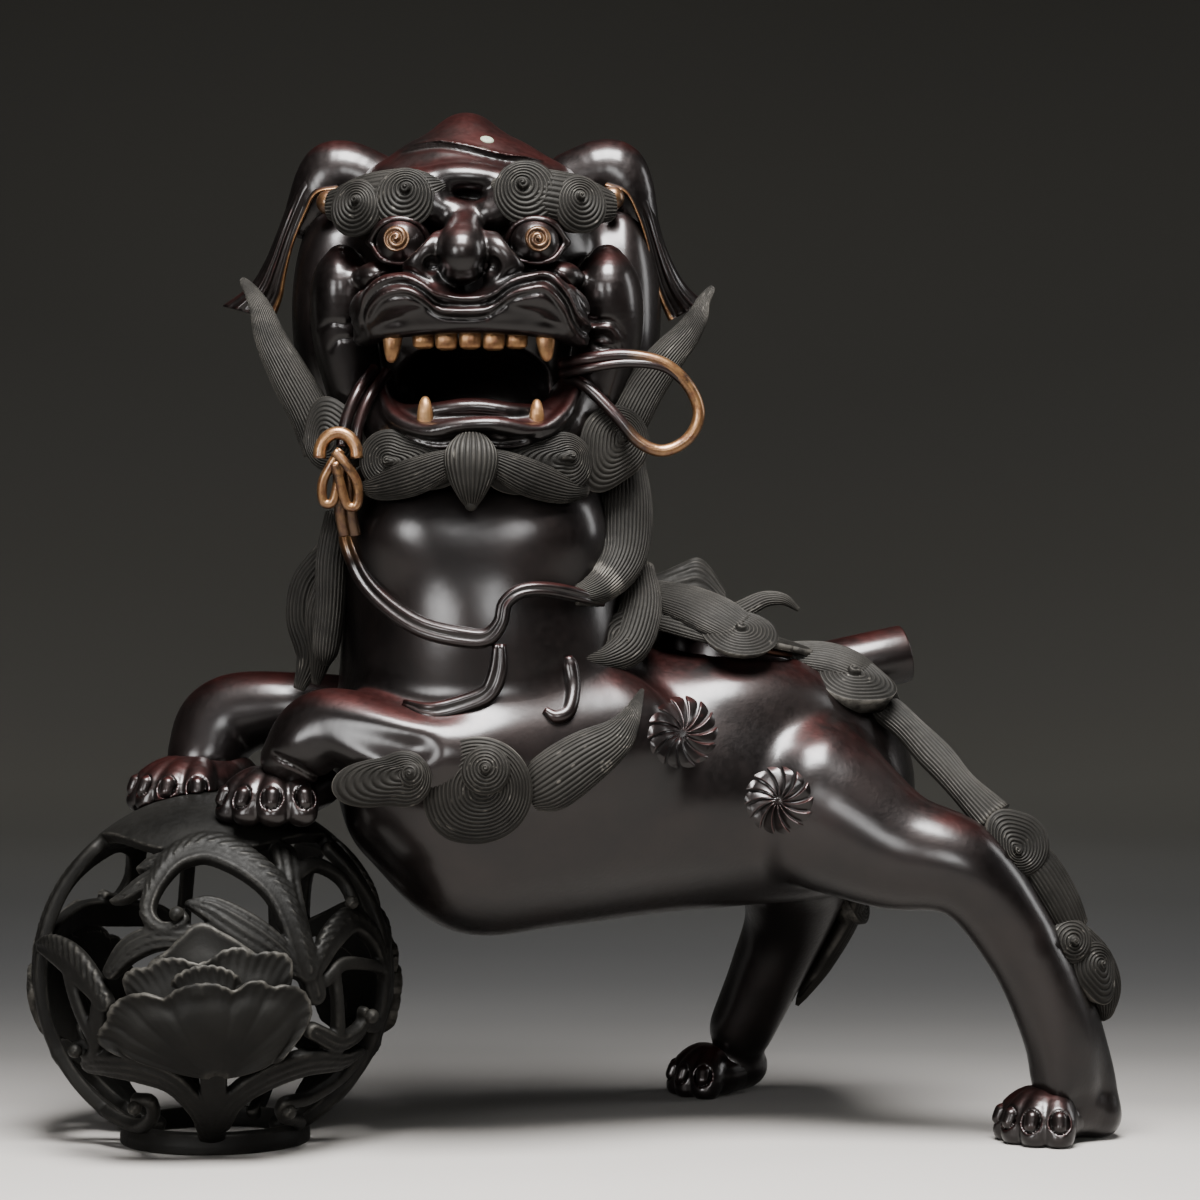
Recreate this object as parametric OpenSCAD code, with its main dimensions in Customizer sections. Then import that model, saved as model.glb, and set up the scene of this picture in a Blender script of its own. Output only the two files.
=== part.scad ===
// Guardian lion incense burner: a hollow cast lion with its forepaws on an openwork ball.
// Millimetres. +X runs to the rump, -Y to the viewer's side, +Z up.
// The ball and the hind feet stand on Z = 0.
// Sculpted forms are chains of blobs, each written as [x, y, z, rx, ry, rz].

/* [Ball] */
// outside diameter of the openwork ball
ball_d = 120; // [112:1:128]
// wall of the openwork ball
ball_wall = 4.5; // [3.5:0.5:6]
// outside diameter of the ring that the ball stands on
ball_foot_d = 63; // [58:1:68]
// height of that ring below the ball
ball_foot_h = 5; // [4:0.5:7]
// wall of that ring
ball_foot_wall = 4; // [3:0.5:6]
// flowers round the ball
peonies = 3; // [3:1:3]
// width of an opening in the ball
ball_slot_w = 15; // [11:1:16]
// length of an opening in the ball
ball_slot_l = 26; // [20:1:27]
// radius of an outer petal
petal_r = 9; // [7:0.5:10]

/* [Casting] */
// wall of the hollow body and head
shell_wall = 4.5; // [3:0.5:6]
// braze gap between two castings that are fixed together
braze_gap = 0.15; // [0.1:0.05:0.25]

/* [Hearth] */
// outside radius of the ash bowl
bowl_r = 22; // [19:0.5:23]
// depth of the ash bowl below its rim
bowl_depth = 34; // [26:1:40]
// wall of the ash bowl
bowl_wall = 1.8; // [1.4:0.2:2.6]
// overhang of the bowl's rim
bowl_rim = 2.8; // [2:0.2:3.4]
// thickness of the bowl's rim
bowl_rim_t = 1.6; // [1.2:0.2:2.4]
// wall of the collar round the opening
collar_wall = 3.2; // [2.6:0.2:4]
// height of the collar
collar_h = 18; // [14:1:22]
// how far the opening leans to the rump, in degrees
hearth_lean = 12; // [8:1:15]

/* [Lid] */
// radius of the lid's round plate
lid_r = 26; // [25.5:0.5:27]
// thickness of the lid's plate
lid_t = 2.6; // [2:0.2:3.4]
// lobes round the lid's edge
lid_lobes = 9; // [7:1:11]
// radius of a lobe
lid_lobe_r = 6.5; // [5:0.5:7]
// length of the ring under the lid
spigot_l = 5; // [3:0.5:8]
// wall of the ring under the lid
spigot_wall = 2; // [1.4:0.2:2.6]

/* [Tail socket] */
// radius of the hole for the tail
tail_bore_r = 7.5; // [6:0.25:8.5]
// wall round that hole
tail_wall = 2.6; // [2:0.2:3.4]
// depth of that hole
tail_bore_l = 26; // [18:1:27]
// length of the socket
tail_socket_l = 30.5; // [29:0.5:33]

/* [Small pieces] */
// radius of an eyeball
eye_r = 8; // [7:0.25:9]
// radius of a fang at its root
fang_r = 3.2; // [2.6:0.2:3.6]
// length of an upper fang
fang_l = 12; // [9:0.5:14]
// width of an incisor
incisor_w = 6.4; // [5:0.2:6.8]
// length of an incisor below the lip
incisor_l = 8; // [6:0.5:9]
// radius of a cast cord
cord_r = 2.2; // [1.8:0.1:2.6]
// radius of a paw's dowel
dowel_r = 3; // [2:0.25:3.5]
// length of a paw's dowel
dowel_l = 16; // [12:1:18]
// radius of the plug in the crown
plug_r = 4; // [3:0.25:5]

/* [Fits] */
// play between the bowl and its collar
bowl_play = 0.4; // [0.3:0.05:0.7]
// play between the lid's ring and the bowl
lid_play = 0.5; // [0.3:0.05:0.8]
// rest gap between faces that seat on one another
seat_gap = 0.3; // [0.3:0.05:0.5]

/* [Hidden] */
// facets round the body, another large form, a small form, a cord and a seat cut in a sculpted form
body_fn = 20;
large_fn = 14;
small_fn = 8;
cord_fn = 6;
seat_fn = 16;
ball_seat_fn = 40;
round_fn = 72;
// middle of the footprint in the sculptor's frame, whose Y = 0 is the ball's middle
footprint_mid = [-1.8, 26, 0];
under_floor = 60;
floor_side = 600;
// how far a cutting form runs past the face it cuts
over = 1;

ball_r = ball_d / 2;
ball_x = -121.5;
ball_at = [ball_x, 0, ball_foot_h + sqrt(pow(ball_r, 2) - pow(ball_foot_d / 2, 2))];
ball_foot_in = ball_foot_d / 2 - ball_foot_wall;
// openings of one sector: [turn from the flower, height angle, roll]
ball_slots = [
    [-32, 45, 62], [32, 45, -62], [-37, 12, 25], [37, 12, -25], [60, 2, 0], [60, 30, 0], [60, -34, 0],
    [-25, -50, 60], [25, -50, -60]
];
flower_lift = -12;
// layers of a flower: [petals, radius of their ring, height above the ball]
flower_layers = [[8, 20, 2.5], [6, 10, 4.5], [5, 2, 6]];

near_paw_dir = [0.345, -0.34, 0.875];
far_paw_dir = [-0.17, 0.42, 0.891];
near_paw_at = ball_at + ball_r * near_paw_dir;
far_paw_at = ball_at + ball_r * far_paw_dir;
// a paw: heel and pad, then four toes at these turns
paw_pad = [[8, 4, 10, 11, 11, 8], [-1, -2, 7, 15, 14, 9]];
near_toes = [192, 222, 252, 282];
far_toes = [168, 196, 224, 254];
paw_reach = 16;
foot_reach = 14;
foot_drop = 1;
toe_z = 9;
toe_r = 7;
toe_tip_r = 6.2;
claw_l = 5.5;
claw_r = 4;
claw_tip_z = 1;
dowel_dir_near = [6, -6, 8];
dowel_dir_far = [3, 1, 8];

barrel = [
    [-64, 3, 118, 16, 32, 26], [-40, 7, 113, 20, 46, 44], [-8, 13, 115.5, 24, 50, 45],
    [25, 22, 118, 24, 51, 44], [56, 30, 118, 24, 50, 42], [82, 37, 117, 22, 48, 39],
    [98, 42, 115, 17, 40, 30]
];
neck = [
    [-32, 4, 140, 49, 46, 30], [-31, 0, 168, 48, 43, 20], [-32, -3, 190, 47, 41, 18],
    [-33, -4, 214, 46, 40, 17]
];
throat = [[-33, -5, 200, 38, 31, 14], [-33, -2, 226, 30, 26, 16], [-34, -10, 250, 24, 22, 12]];

head_at = [-35, -6, 285];
// forms of the head, from its own middle
skull = [2, 8, 5, 44, 42, 40];
skull_core = [2, 9, 4, 38, 36, 33];
crown = [0, -2, 41, 20, 22, 15];
forehead = [0, -24, 31, 22, 16, 12];
left_cheek = [[-38, -16, -2, 14, 20, 20], [-36, -9, -30, 12, 18, 20]];
right_cheek = [[44, -16, -2, 14, 20, 20], [40, -9, -30, 12, 18, 20]];
brow = [[-38, -25, 21, 12, 10, 10], [0, -35, 24, 12, 10, 9], [38, -25, 21, 12, 10, 10]];
nose = [[0, -38, 15, 8, 8, 8], [0, -50, 4, 9, 8, 8]];
nose_wings = [[-9, -46, -0.5, 7.5, 7, 6], [9, -46, -0.5, 7.5, 7, 6]];
lip = [[-20, -35, -9, 17, 14, 10], [0, -40, -12, 16, 12, 9], [20, -35, -9, 17, 14, 10]];
nape = [2, 12, -35, 44, 34, 27];
mouth = [[0, -62, -35, 25, 12, 12], [0, -30, -35, 29, 16, 13]];
jaw = [
    [-33, -12, -40, 9, 12, 12], [-22, -30, -50, 10, 10, 9], [1, -39, -54, 14, 9, 8],
    [24, -30, -50, 10, 10, 9], [36, -12, -40, 9, 12, 12]
];
jaw_floor = [[-10, -14, -55, 24, 24, 7], [12, -14, -55, 24, 24, 7]];
tongue_form = [[1, -12, -46, 15, 14, 5], [1, -28, -45, 12, 10, 4]];

eye_spots = [[-21.3, -40, 9], [21, -40, 9]];
upper_fang_spots = [[-24.5, -41, -13], [24, -41, -13]];
lower_fang_spots = [[-14, -38, -47], [21, -35, -46]];
// the incisors stand on a flat arc between the fangs
incisors = 5;
incisor_arc_r = 60;
incisor_root = 5;
incisor_step = 7.4;
incisor_front = -43;
lip_edge_z = -17;
lower_fang_short = 2;
plug_spot = [4, -12, 52];
plug_tilt = 10;
plug_h = 8;
plug_in = 5;

left_ear_form = [
    [-36, 6, 33, 12, 11, 12], [-46, 4, 37, 13, 10, 12], [-58, 6, 19, 9, 8, 14], [-69, 9, 7, 7, 5, 11],
    [-82, 12, -6, 2.5, 2.5, 3]
];
right_ear_form = [
    [38, 6, 33, 12, 11, 12], [45, 4, 37, 13, 10, 12], [57, 6, 18, 9, 8, 14], [65, 9, 5, 7, 5, 11],
    [73, 12, -8, 2.5, 2.5, 3]
];
// brow curls: [x, y, z, radius]
left_curls = [[-20, -43, 26, 10.5], [-37, -36, 23, 9.5]];
right_curls = [[19, -43, 27, 10.5], [36, -36, 25, 9.5]];
curl_h = 9;
curl_knob = 0.32;

left_cheek_form = [
    [-46, -14, -50, 9, 8, 10], [-56, -12, -33, 8, 7, 10], [-67, -10, -17, 5, 5, 9], [-74, -8, -2, 2, 2.5, 4]
];
right_cheek_form = [
    [48, -14, -50, 9, 8, 10], [58, -13, -38, 8, 7, 10], [69, -11, -22, 5, 5, 9], [77, -9, -5, 2, 2.5, 4]
];
left_beard_form = [[-5, -43, -61, 7, 6, 7], [-15, -42, -64, 9, 6, 8], [-28, -36, -66, 7, 7, 7]];
right_beard_form = [
    [9, -43, -61, 7, 6, 7], [19, -41, -64, 10, 6, 8], [33, -34, -66, 8, 7, 8], [47, -24, -62, 7, 8, 11]
];
chin_form = [[2, -47, -61, 6.5, 6, 8], [2, -48, -73, 3, 3, 5]];

loop_path = [
    [31, -26, -28], [44, -33, -26], [58, -33, -28], [70, -31, -36], [75, -30, -48], [66, -30, -57],
    [52, -32, -51], [42, -32, -38], [33, -24, -33]
];
knot_path = [[-33, -24, -31], [-39, -31, -44], [-41, -33, -56], [-42, -32, -68], [-41, -30, -83]];
knot_balls = [[-41, -33, -57, 5, 4.5, 4], [-44, -32, -69, 3.5, 3.5, 5], [-37.5, -33, -71, 3.2, 3.5, 5]];

// the chest cord and straps lie on the neck, so only [x, z] is given
chest_path = [[-75, 200], [-70, 186], [-60, 177], [-47, 171], [-31, 168], [-24, 175], [-17, 182], [4, 178]];
strap_paths = [
    [[-22, 165], [-25, 157], [-33, 151], [-48, 147]],
    [[-4, 163], [-3, 155], [-5, 148], [-12, 145]]
];
// a doubled cord is this much stouter than a single one
double_cord = 1.4;
neck_mid = [-32, 0];
neck_rx = 48;
neck_ry = 43.5;

left_lock_form = [[-78, -8, 206, 7, 9, 9], [-81, -12, 182, 6, 8, 10], [-82, -15, 164, 4, 5, 6]];
right_mane_form = [
    [10, -10, 212, 8, 14, 10], [12, -14, 192, 7, 14, 10], [10, -20, 175, 7, 12, 9], [13, -16, 160, 6, 11, 9]
];

// the last two forms of a foreleg follow its paw
near_foreleg_form = [
    [8, -26, 134, 24, 16, 22], [-22, -37, 130, 18, 14, 18], [-50, -44, 129, 14, 13, 14],
    concat(near_paw_at + [20, -15, 31], [13, 12, 12]), concat(near_paw_at + [9, -9, 20], [12, 11.5, 9])
];
far_foreleg_form = [
    [-20, 42, 130, 20, 14, 20], [-60, 40, 137, 16, 13, 15], [-95, 29, 143, 12, 12, 12],
    concat(far_paw_at + [10, 5, 30], [14, 13, 14]), concat(far_paw_at + [4, 1, 17], [13.5, 12.5, 9])
];
near_flame_form = [
    [-54, -54, 125, 10, 6, 10], [-29, -48, 122, 16, 7, 16], [-8, -41, 124, 12, 7, 12], [6, -38, 134, 8, 7, 9],
    [18, -36, 148, 2.5, 4, 4]
];
far_flame_form = [
    [-48, 50, 127, 10, 7, 10], [-24, 56, 124, 15, 7, 15], [-2, 62, 126, 12, 7, 12], [12, 66, 136, 8, 7, 9],
    [24, 69, 147, 2.5, 4, 4]
];

near_hind_form = [
    [74, 0, 113, 30, 22, 34], [100, -9, 99, 18, 17, 20], [127, -14, 91, 14, 14, 15],
    [147, -8, 65, 12.5, 13, 14], [159, -3, 37, 12, 12.5, 13], [162, 0, 20, 11.5, 12, 10]
];
near_foot_at = [158, 0, 0];
near_heel = [[171, 4, 34, 5, 8, 6], [175, 6, 9, 5, 9, 9]];
far_hind_form = [
    [76, 62, 102, 26, 22, 30], [75, 81, 70, 16, 15, 18], [67, 92, 46, 13, 13, 14], [58, 100, 24, 11.5, 12, 12]
];
far_foot_at = [51, 103, 0];
foot_pad = [[6, 3, 10, 11, 12, 9], [-2, -2, 8, 14, 13, 8.5]];
near_hind_toes = [178, 208, 238, 268];
far_hind_toes = [160, 188, 216, 246];

near_strip_form = [
    [103, 20, 143, 7, 7, 6], [120, 4, 124, 5, 5.5, 6], [139, -6, 107, 6, 6, 8], [148, -9, 97, 7, 6, 8],
    [160, -5, 82, 7, 6, 9], [168, 0, 65, 7, 6, 9], [177, 4, 42, 3, 3, 6]
];
far_strip_form = [
    [97, 70, 84, 8, 7, 10], [93, 82, 66, 8, 7, 10], [85, 91, 48, 7, 6, 8], [79, 96, 35, 3.5, 4, 4]
];
spine_form = [[84, 22, 154, 7, 9, 6], [93, 13, 149, 12, 9, 8], [104, 17, 142, 6, 7, 6]];

tail_at = [83.3, 41, 155.1];
tail_yaw = 11;
tail_pitch = 12;
tail_r = tail_bore_r + tail_wall;

// the hearth's own frame: z runs out of the opening and z = 0 lies near the back's crest
hearth_at = [50, 27, 160.5];
collar_top = 4;
bowl_in = bowl_r - bowl_wall;
collar_in = bowl_r + bowl_play;
collar_r = collar_in + collar_wall;
rim_z = collar_top + seat_gap;
lid_z = rim_z + bowl_rim_t + seat_gap;
bowl_round = 8;
lid_top = lid_z + lid_t;
lid_lobe_turn = 20;
lid_lobe_in = 2;
lid_reach = lid_r - lid_lobe_in + lid_lobe_r;
near_curl_form = [[-8, -12, 2, 12, 10, 2.4], [-2, -25, 1.4, 12, 10, 2.4], [1, -34, -4, 12, 9, 3.2]];
far_lock_form = [
    [-16, 4, 2, 9, 8, 2.4], [-15, 14, 6, 9, 6, 4], [-13, 19, 13, 6, 3.5, 6], [-9, 20, 20, 3, 2, 3]
];
rear_lock_form = [[11, 9, 2, 8, 6, 2.4], [19, 11, 5, 4, 3.5, 2.6], [27, 13, 10, 1.6, 2, 2]];

bronze = [0.10, 0.08, 0.07];
hair = [0.17, 0.16, 0.15];
gilt = [0.62, 0.42, 0.18];
verdigris = [0.42, 0.50, 0.40];
copper = [0.36, 0.20, 0.12];

module placed() translate(-footprint_mid) children();
module in_head() translate(head_at) children();
module at_hearth() translate(hearth_at) rotate([0, hearth_lean, 0]) children();
module at_tail() translate(tail_at) rotate([0, 0, tail_yaw]) rotate([0, 90 - tail_pitch, 0]) children();

// one blob of a chain, grown by g all round
module blob(p, g = 0, fn = large_fn) {
    translate([p[0], p[1], p[2]])
    scale([p[3] + g, p[4] + g, p[5] + g])
    sphere(1, $fn = fn);
}
module limb(path, g = 0, fn = large_fn) {
    for (i = [0:len(path) - 2])
        hull() {
            blob(path[i], g, fn);
            blob(path[i + 1], g, fn);
        }
}
module lump(p, g = 0, fn = large_fn) hull() blob(p, g, fn);
function as_ball(p, r) = [p[0], p[1], p[2], r, r, r];
function as_cord(path, r) = [for (p = path) as_ball(p, r)];
// a point on the front of the neck, for the cords that lie on it
function neck_y(x) = neck_mid[1] - neck_ry * sqrt(max(0.05, 1 - pow((x - neck_mid[0]) / neck_rx, 2)));
function on_neck(path) = [for (p = path) [p[0], neck_y(p[0]) - cord_r / 2, p[1]]];
module above_floor() {
    difference() {
        children();
        translate([-floor_side / 2, -floor_side / 2, -under_floor])
        cube([floor_side, floor_side, under_floor]);
    }
}

module torso_form(g = 0) {
    limb(barrel, g, body_fn);
    limb(neck, g, body_fn);
}
module head_form(g = 0) {
    in_head() {
        lump(skull, g);
        lump(crown, g);
        lump(forehead, g);
        limb(left_cheek, g);
        limb(right_cheek, g);
        limb(brow, g);
        limb(nose, g, small_fn);
        lump(nose_wings[0], g, small_fn);
        lump(nose_wings[1], g, small_fn);
        limb(lip, g);
        lump(nape, g);
    }
}
module mouth_space() in_head() limb(mouth);
module jaw_form(g = 0) {
    in_head() {
        limb(jaw, g);
        limb(jaw_floor, g);
    }
}
module eyes_form(g = 0, fn = round_fn) {
    in_head()
    for (p = eye_spots)
        translate(p)
        sphere(eye_r + g, $fn = fn);
}
module upper_fangs_form(g = 0, fn = round_fn) {
    in_head()
    for (p = upper_fang_spots)
        translate(p)
        rotate([180, 0, 0])
        cylinder(r1 = fang_r + g, r2 = fang_r / 4 + g, h = fang_l + g, $fn = fn);
}
module lower_fangs_form(g = 0, fn = round_fn) {
    in_head()
    for (p = lower_fang_spots)
        translate(p - [0, 0, g])
        cylinder(r1 = fang_r + g, r2 = fang_r / 4 + g, h = fang_l - lower_fang_short + g, $fn = fn);
}
function incisor_x(i) = (i - (incisors - 1) / 2) * incisor_step;
function incisor_y(i) = incisor_front + pow(incisor_x(i), 2) / incisor_arc_r;
module incisors_form(g = 0, fn = round_fn) {
    in_head()
    for (i = [0:incisors - 1])
        translate([incisor_x(i), incisor_y(i), lip_edge_z - incisor_l])
        cylinder(d = incisor_w + 2 * g, h = incisor_l + incisor_root + g, $fn = fn);
}
module plug_form(g = 0, fn = round_fn) {
    in_head()
    translate(plug_spot)
    rotate([plug_tilt, plug_tilt, 0])
    translate([0, 0, -plug_in])
    cylinder(r = plug_r + g, h = plug_h, $fn = fn);
}
module curls_form(curls, g = 0) {
    in_head()
    for (c = curls)
        translate([c[0], c[1], c[2]])
        rotate([90, 0, c[0]]) {
            translate([0, 0, -curl_h])
            cylinder(r = c[3] + g, h = curl_h + g, $fn = seat_fn);
            sphere(c[3] * curl_knob + g, $fn = small_fn);
        }
}
module left_ear_solid(g = 0) in_head() limb(left_ear_form, g, small_fn + 4);
module right_ear_solid(g = 0) in_head() limb(right_ear_form, g, small_fn + 4);
module left_cheek_solid(g = 0) in_head() limb(left_cheek_form, g, small_fn);
module right_cheek_solid(g = 0) in_head() limb(right_cheek_form, g, small_fn);
module beards_solid(g = 0) {
    in_head() {
        limb(left_beard_form, g, small_fn);
        limb(right_beard_form, g, small_fn);
    }
}
module chin_solid(g = 0) in_head() limb(chin_form, g, small_fn);
module knot_solid(g = 0) {
    in_head() {
        limb(as_cord(knot_path, cord_r), g, cord_fn);
        for (p = knot_balls)
            lump(p, g, small_fn);
    }
}
module left_lock_solid(g = 0) limb(left_lock_form, g, small_fn);
module right_mane_solid(g = 0) limb(right_mane_form, g, small_fn + 4);

module toes(turns, reach, drop) {
    for (a = turns) {
        out = [cos(a), sin(a), 0];
        knuckle = reach / 2 * out + [0, 0, drop + toe_z];
        tip = reach * out + [0, 0, drop + toe_z / 2];
        claw = (reach + claw_l) * out + [0, 0, drop + claw_tip_z];
        limb([as_ball(knuckle, toe_r), as_ball(tip, toe_tip_r)], 0, small_fn);
        limb([as_ball(tip, claw_r), as_ball(claw, claw_r / 2)], 0, cord_fn);
    }
}
module paw_form(at, turns, g = 0) {
    translate(at) {
        limb(paw_pad, g, small_fn + 4);
        toes(turns, paw_reach, 0);
    }
}
module near_foreleg_solid(g = 0) limb(near_foreleg_form, g);
module far_foreleg_solid(g = 0) limb(far_foreleg_form, g);
module near_flame_solid(g = 0) limb(near_flame_form, g, small_fn + 4);
module near_hind_solid(g = 0) {
    limb(near_hind_form, g);
    limb(near_heel, g, small_fn);
    translate(near_foot_at) {
        limb(foot_pad, g, small_fn + 4);
        toes(near_hind_toes, foot_reach, foot_drop);
    }
}
module far_hind_solid(g = 0) {
    limb(far_hind_form, g);
    translate(far_foot_at) {
        limb(foot_pad, g, small_fn + 4);
        toes(far_hind_toes, foot_reach, foot_drop);
    }
}
module dowels_form(g = 0, fn = round_fn) {
    for (p = [near_paw_at + dowel_dir_near, far_paw_at + dowel_dir_far])
        translate(p - [0, 0, g])
        cylinder(r = dowel_r + g, h = dowel_l + 2 * g, $fn = fn);
}
module tail_seat() {
    at_tail()
    translate([0, 0, -braze_gap])
    cylinder(r = tail_r + 2 * braze_gap, h = tail_socket_l + over, $fn = ball_seat_fn);
}
module collar_hole() {
    at_hearth()
    translate([0, 0, collar_top - collar_h - braze_gap])
    cylinder(r = collar_r + 2 * braze_gap, h = 2 * collar_h, $fn = round_fn);
}
// the flats of this seat must stay outside the ball
ball_seat_r = (ball_r + braze_gap) / pow(cos(180 / ball_seat_fn), 2);
module ball_cut() translate(ball_at) sphere(ball_seat_r, $fn = ball_seat_fn);

module torso_shell() {
    color(bronze) placed() difference() {
        torso_form();
        limb(barrel, -shell_wall);
        limb(neck, -shell_wall);
        limb(throat);
        collar_hole();
        tail_seat();
    }
}
module head_shell() {
    color(bronze) placed() difference() {
        head_form();
        torso_form(braze_gap);
        limb(throat);
        in_head() lump(skull_core);
        mouth_space();
        jaw_form(braze_gap);
        eyes_form(2 * braze_gap, seat_fn);
        upper_fangs_form(braze_gap, seat_fn);
        incisors_form(braze_gap, seat_fn);
        plug_form(braze_gap, seat_fn);
    }
}
module lower_jaw() {
    color(bronze) placed() difference() {
        jaw_form();
        torso_form(braze_gap);
        limb(throat);
        mouth_space();
        lower_fangs_form(braze_gap, seat_fn);
    }
}
module tongue() {
    color(copper) placed() difference() {
        in_head() limb(tongue_form, 0, small_fn + 4);
        difference() {
            jaw_form(braze_gap);
            mouth_space();
        }
        head_form(braze_gap);
    }
}
module eyes() color(gilt) placed() eyes_form();
module incisor_row() color(gilt) placed() incisors_form();
module upper_fangs() color(gilt) placed() upper_fangs_form();
module lower_fangs() color(gilt) placed() lower_fangs_form();
module crown_plug() color(verdigris) placed() plug_form();
module left_ear() {
    color(bronze) placed() difference() {
        left_ear_solid();
        head_form(braze_gap);
    }
}
module right_ear() {
    color(bronze) placed() difference() {
        right_ear_solid();
        head_form(braze_gap);
    }
}
module left_brow_curls() {
    color(hair) placed() difference() {
        curls_form(left_curls);
        head_form(braze_gap);
        left_ear_solid(braze_gap);
        eyes_form(2 * braze_gap, seat_fn);
    }
}
module right_brow_curls() {
    color(hair) placed() difference() {
        curls_form(right_curls);
        head_form(braze_gap);
        right_ear_solid(braze_gap);
        eyes_form(2 * braze_gap, seat_fn);
    }
}
module left_cheek_lock() {
    color(hair) placed() difference() {
        left_cheek_solid();
        head_form(braze_gap);
        torso_form(braze_gap);
        jaw_form(braze_gap);
        left_ear_solid(braze_gap);
    }
}
module right_cheek_lock() {
    color(hair) placed() difference() {
        right_cheek_solid();
        head_form(braze_gap);
        torso_form(braze_gap);
        jaw_form(braze_gap);
        right_ear_solid(braze_gap);
    }
}
module left_beard() {
    color(hair) placed() difference() {
        in_head() limb(left_beard_form, 0, small_fn);
        head_form(braze_gap);
        jaw_form(braze_gap);
        torso_form(braze_gap);
        left_cheek_solid(braze_gap);
    }
}
module right_beard() {
    color(hair) placed() difference() {
        in_head() limb(right_beard_form, 0, small_fn);
        head_form(braze_gap);
        jaw_form(braze_gap);
        torso_form(braze_gap);
        right_cheek_solid(braze_gap);
    }
}
module chin_tuft() {
    color(hair) placed() difference() {
        chin_solid();
        beards_solid(braze_gap);
        jaw_form(braze_gap);
        torso_form(braze_gap);
    }
}
module cord_loop() {
    color(gilt) placed() difference() {
        in_head() limb(as_cord(loop_path, cord_r), 0, cord_fn);
        head_form(braze_gap);
        jaw_form(braze_gap);
        right_cheek_solid(braze_gap);
        beards_solid(braze_gap);
    }
}
module cord_knot() {
    color(gilt) placed() difference() {
        knot_solid();
        head_form(braze_gap);
        jaw_form(braze_gap);
        torso_form(braze_gap);
        left_cheek_solid(braze_gap);
        beards_solid(braze_gap);
    }
}
module chest_cord() {
    color(gilt) placed() difference() {
        limb(as_cord(on_neck(chest_path), double_cord * cord_r), 0, cord_fn);
        torso_form(braze_gap);
        knot_solid(braze_gap);
        left_lock_solid(braze_gap);
        right_mane_solid(braze_gap);
    }
}
module chest_straps() {
    color(bronze) placed() difference() {
        for (path = strap_paths)
            limb(as_cord(on_neck(path), double_cord * cord_r), 0, cord_fn);
        torso_form(braze_gap);
        near_foreleg_solid(braze_gap);
    }
}
module left_neck_lock() {
    color(hair) placed() difference() {
        left_lock_solid();
        torso_form(braze_gap);
        far_foreleg_solid(braze_gap);
        left_cheek_solid(braze_gap);
        head_form(braze_gap);
        knot_solid(braze_gap);
    }
}
module right_neck_mane() {
    color(hair) placed() difference() {
        right_mane_solid();
        torso_form(braze_gap);
        beards_solid(braze_gap);
        right_cheek_solid(braze_gap);
        near_foreleg_solid(braze_gap);
        head_form(braze_gap);
    }
}
module near_foreleg() {
    color(bronze) placed() difference() {
        near_foreleg_solid();
        torso_form(braze_gap);
        paw_form(near_paw_at, near_toes, braze_gap);
        dowels_form(braze_gap, seat_fn);
    }
}
module far_foreleg() {
    color(bronze) placed() difference() {
        far_foreleg_solid();
        torso_form(braze_gap);
        paw_form(far_paw_at, far_toes, braze_gap);
        dowels_form(braze_gap, seat_fn);
    }
}
module near_forepaw() {
    color(bronze) placed() difference() {
        paw_form(near_paw_at, near_toes);
        ball_cut();
        dowels_form(braze_gap, seat_fn);
    }
}
module far_forepaw() {
    color(bronze) placed() difference() {
        paw_form(far_paw_at, far_toes);
        ball_cut();
        dowels_form(braze_gap, seat_fn);
        paw_form(near_paw_at, near_toes, braze_gap);
    }
}
module near_shoulder_flame() {
    color(hair) placed() difference() {
        near_flame_solid();
        torso_form(braze_gap);
        near_foreleg_solid(braze_gap);
    }
}
module far_shoulder_flame() {
    color(hair) placed() difference() {
        limb(far_flame_form, 0, small_fn + 4);
        torso_form(braze_gap);
        far_foreleg_solid(braze_gap);
    }
}
module near_hind_leg() {
    color(bronze) placed() above_floor() difference() {
        near_hind_solid();
        torso_form(braze_gap);
    }
}
module far_hind_leg() {
    color(bronze) placed() above_floor() difference() {
        far_hind_solid();
        torso_form(braze_gap);
    }
}
module near_leg_mane() {
    color(hair) placed() difference() {
        limb(near_strip_form, 0, small_fn);
        near_hind_solid(braze_gap);
        torso_form(braze_gap);
        limb(spine_form, braze_gap, small_fn);
    }
}
module far_leg_mane() {
    color(hair) placed() difference() {
        limb(far_strip_form, 0, small_fn);
        far_hind_solid(braze_gap);
        torso_form(braze_gap);
    }
}
module spine_mane() {
    color(hair) placed() difference() {
        limb(spine_form, 0, small_fn);
        torso_form(braze_gap);
        tail_seat();
    }
}
module tail_socket() {
    color(bronze) placed() at_tail() difference() {
        cylinder(r = tail_r, h = tail_socket_l, $fn = round_fn);
        translate([0, 0, tail_socket_l - tail_bore_l])
        cylinder(r = tail_bore_r, h = tail_bore_l + over, $fn = round_fn);
    }
}
module slot_outline() {
    half = (ball_slot_l - ball_slot_w) / 2;
    translate([-half, 0]) circle(d = ball_slot_w, $fn = round_fn);
    translate([half, 0]) circle(d = ball_slot_w, $fn = round_fn);
    square([2 * half, ball_slot_w], center = true);
}
module ball_slot(turn, lift, roll) {
    rotate([0, 0, turn])
    rotate([0, -lift, 0])
    translate([ball_r / 2, 0, 0])
    rotate([0, 90, 0])
    linear_extrude(height = ball_r)
    rotate(roll)
    slot_outline();
}
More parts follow.
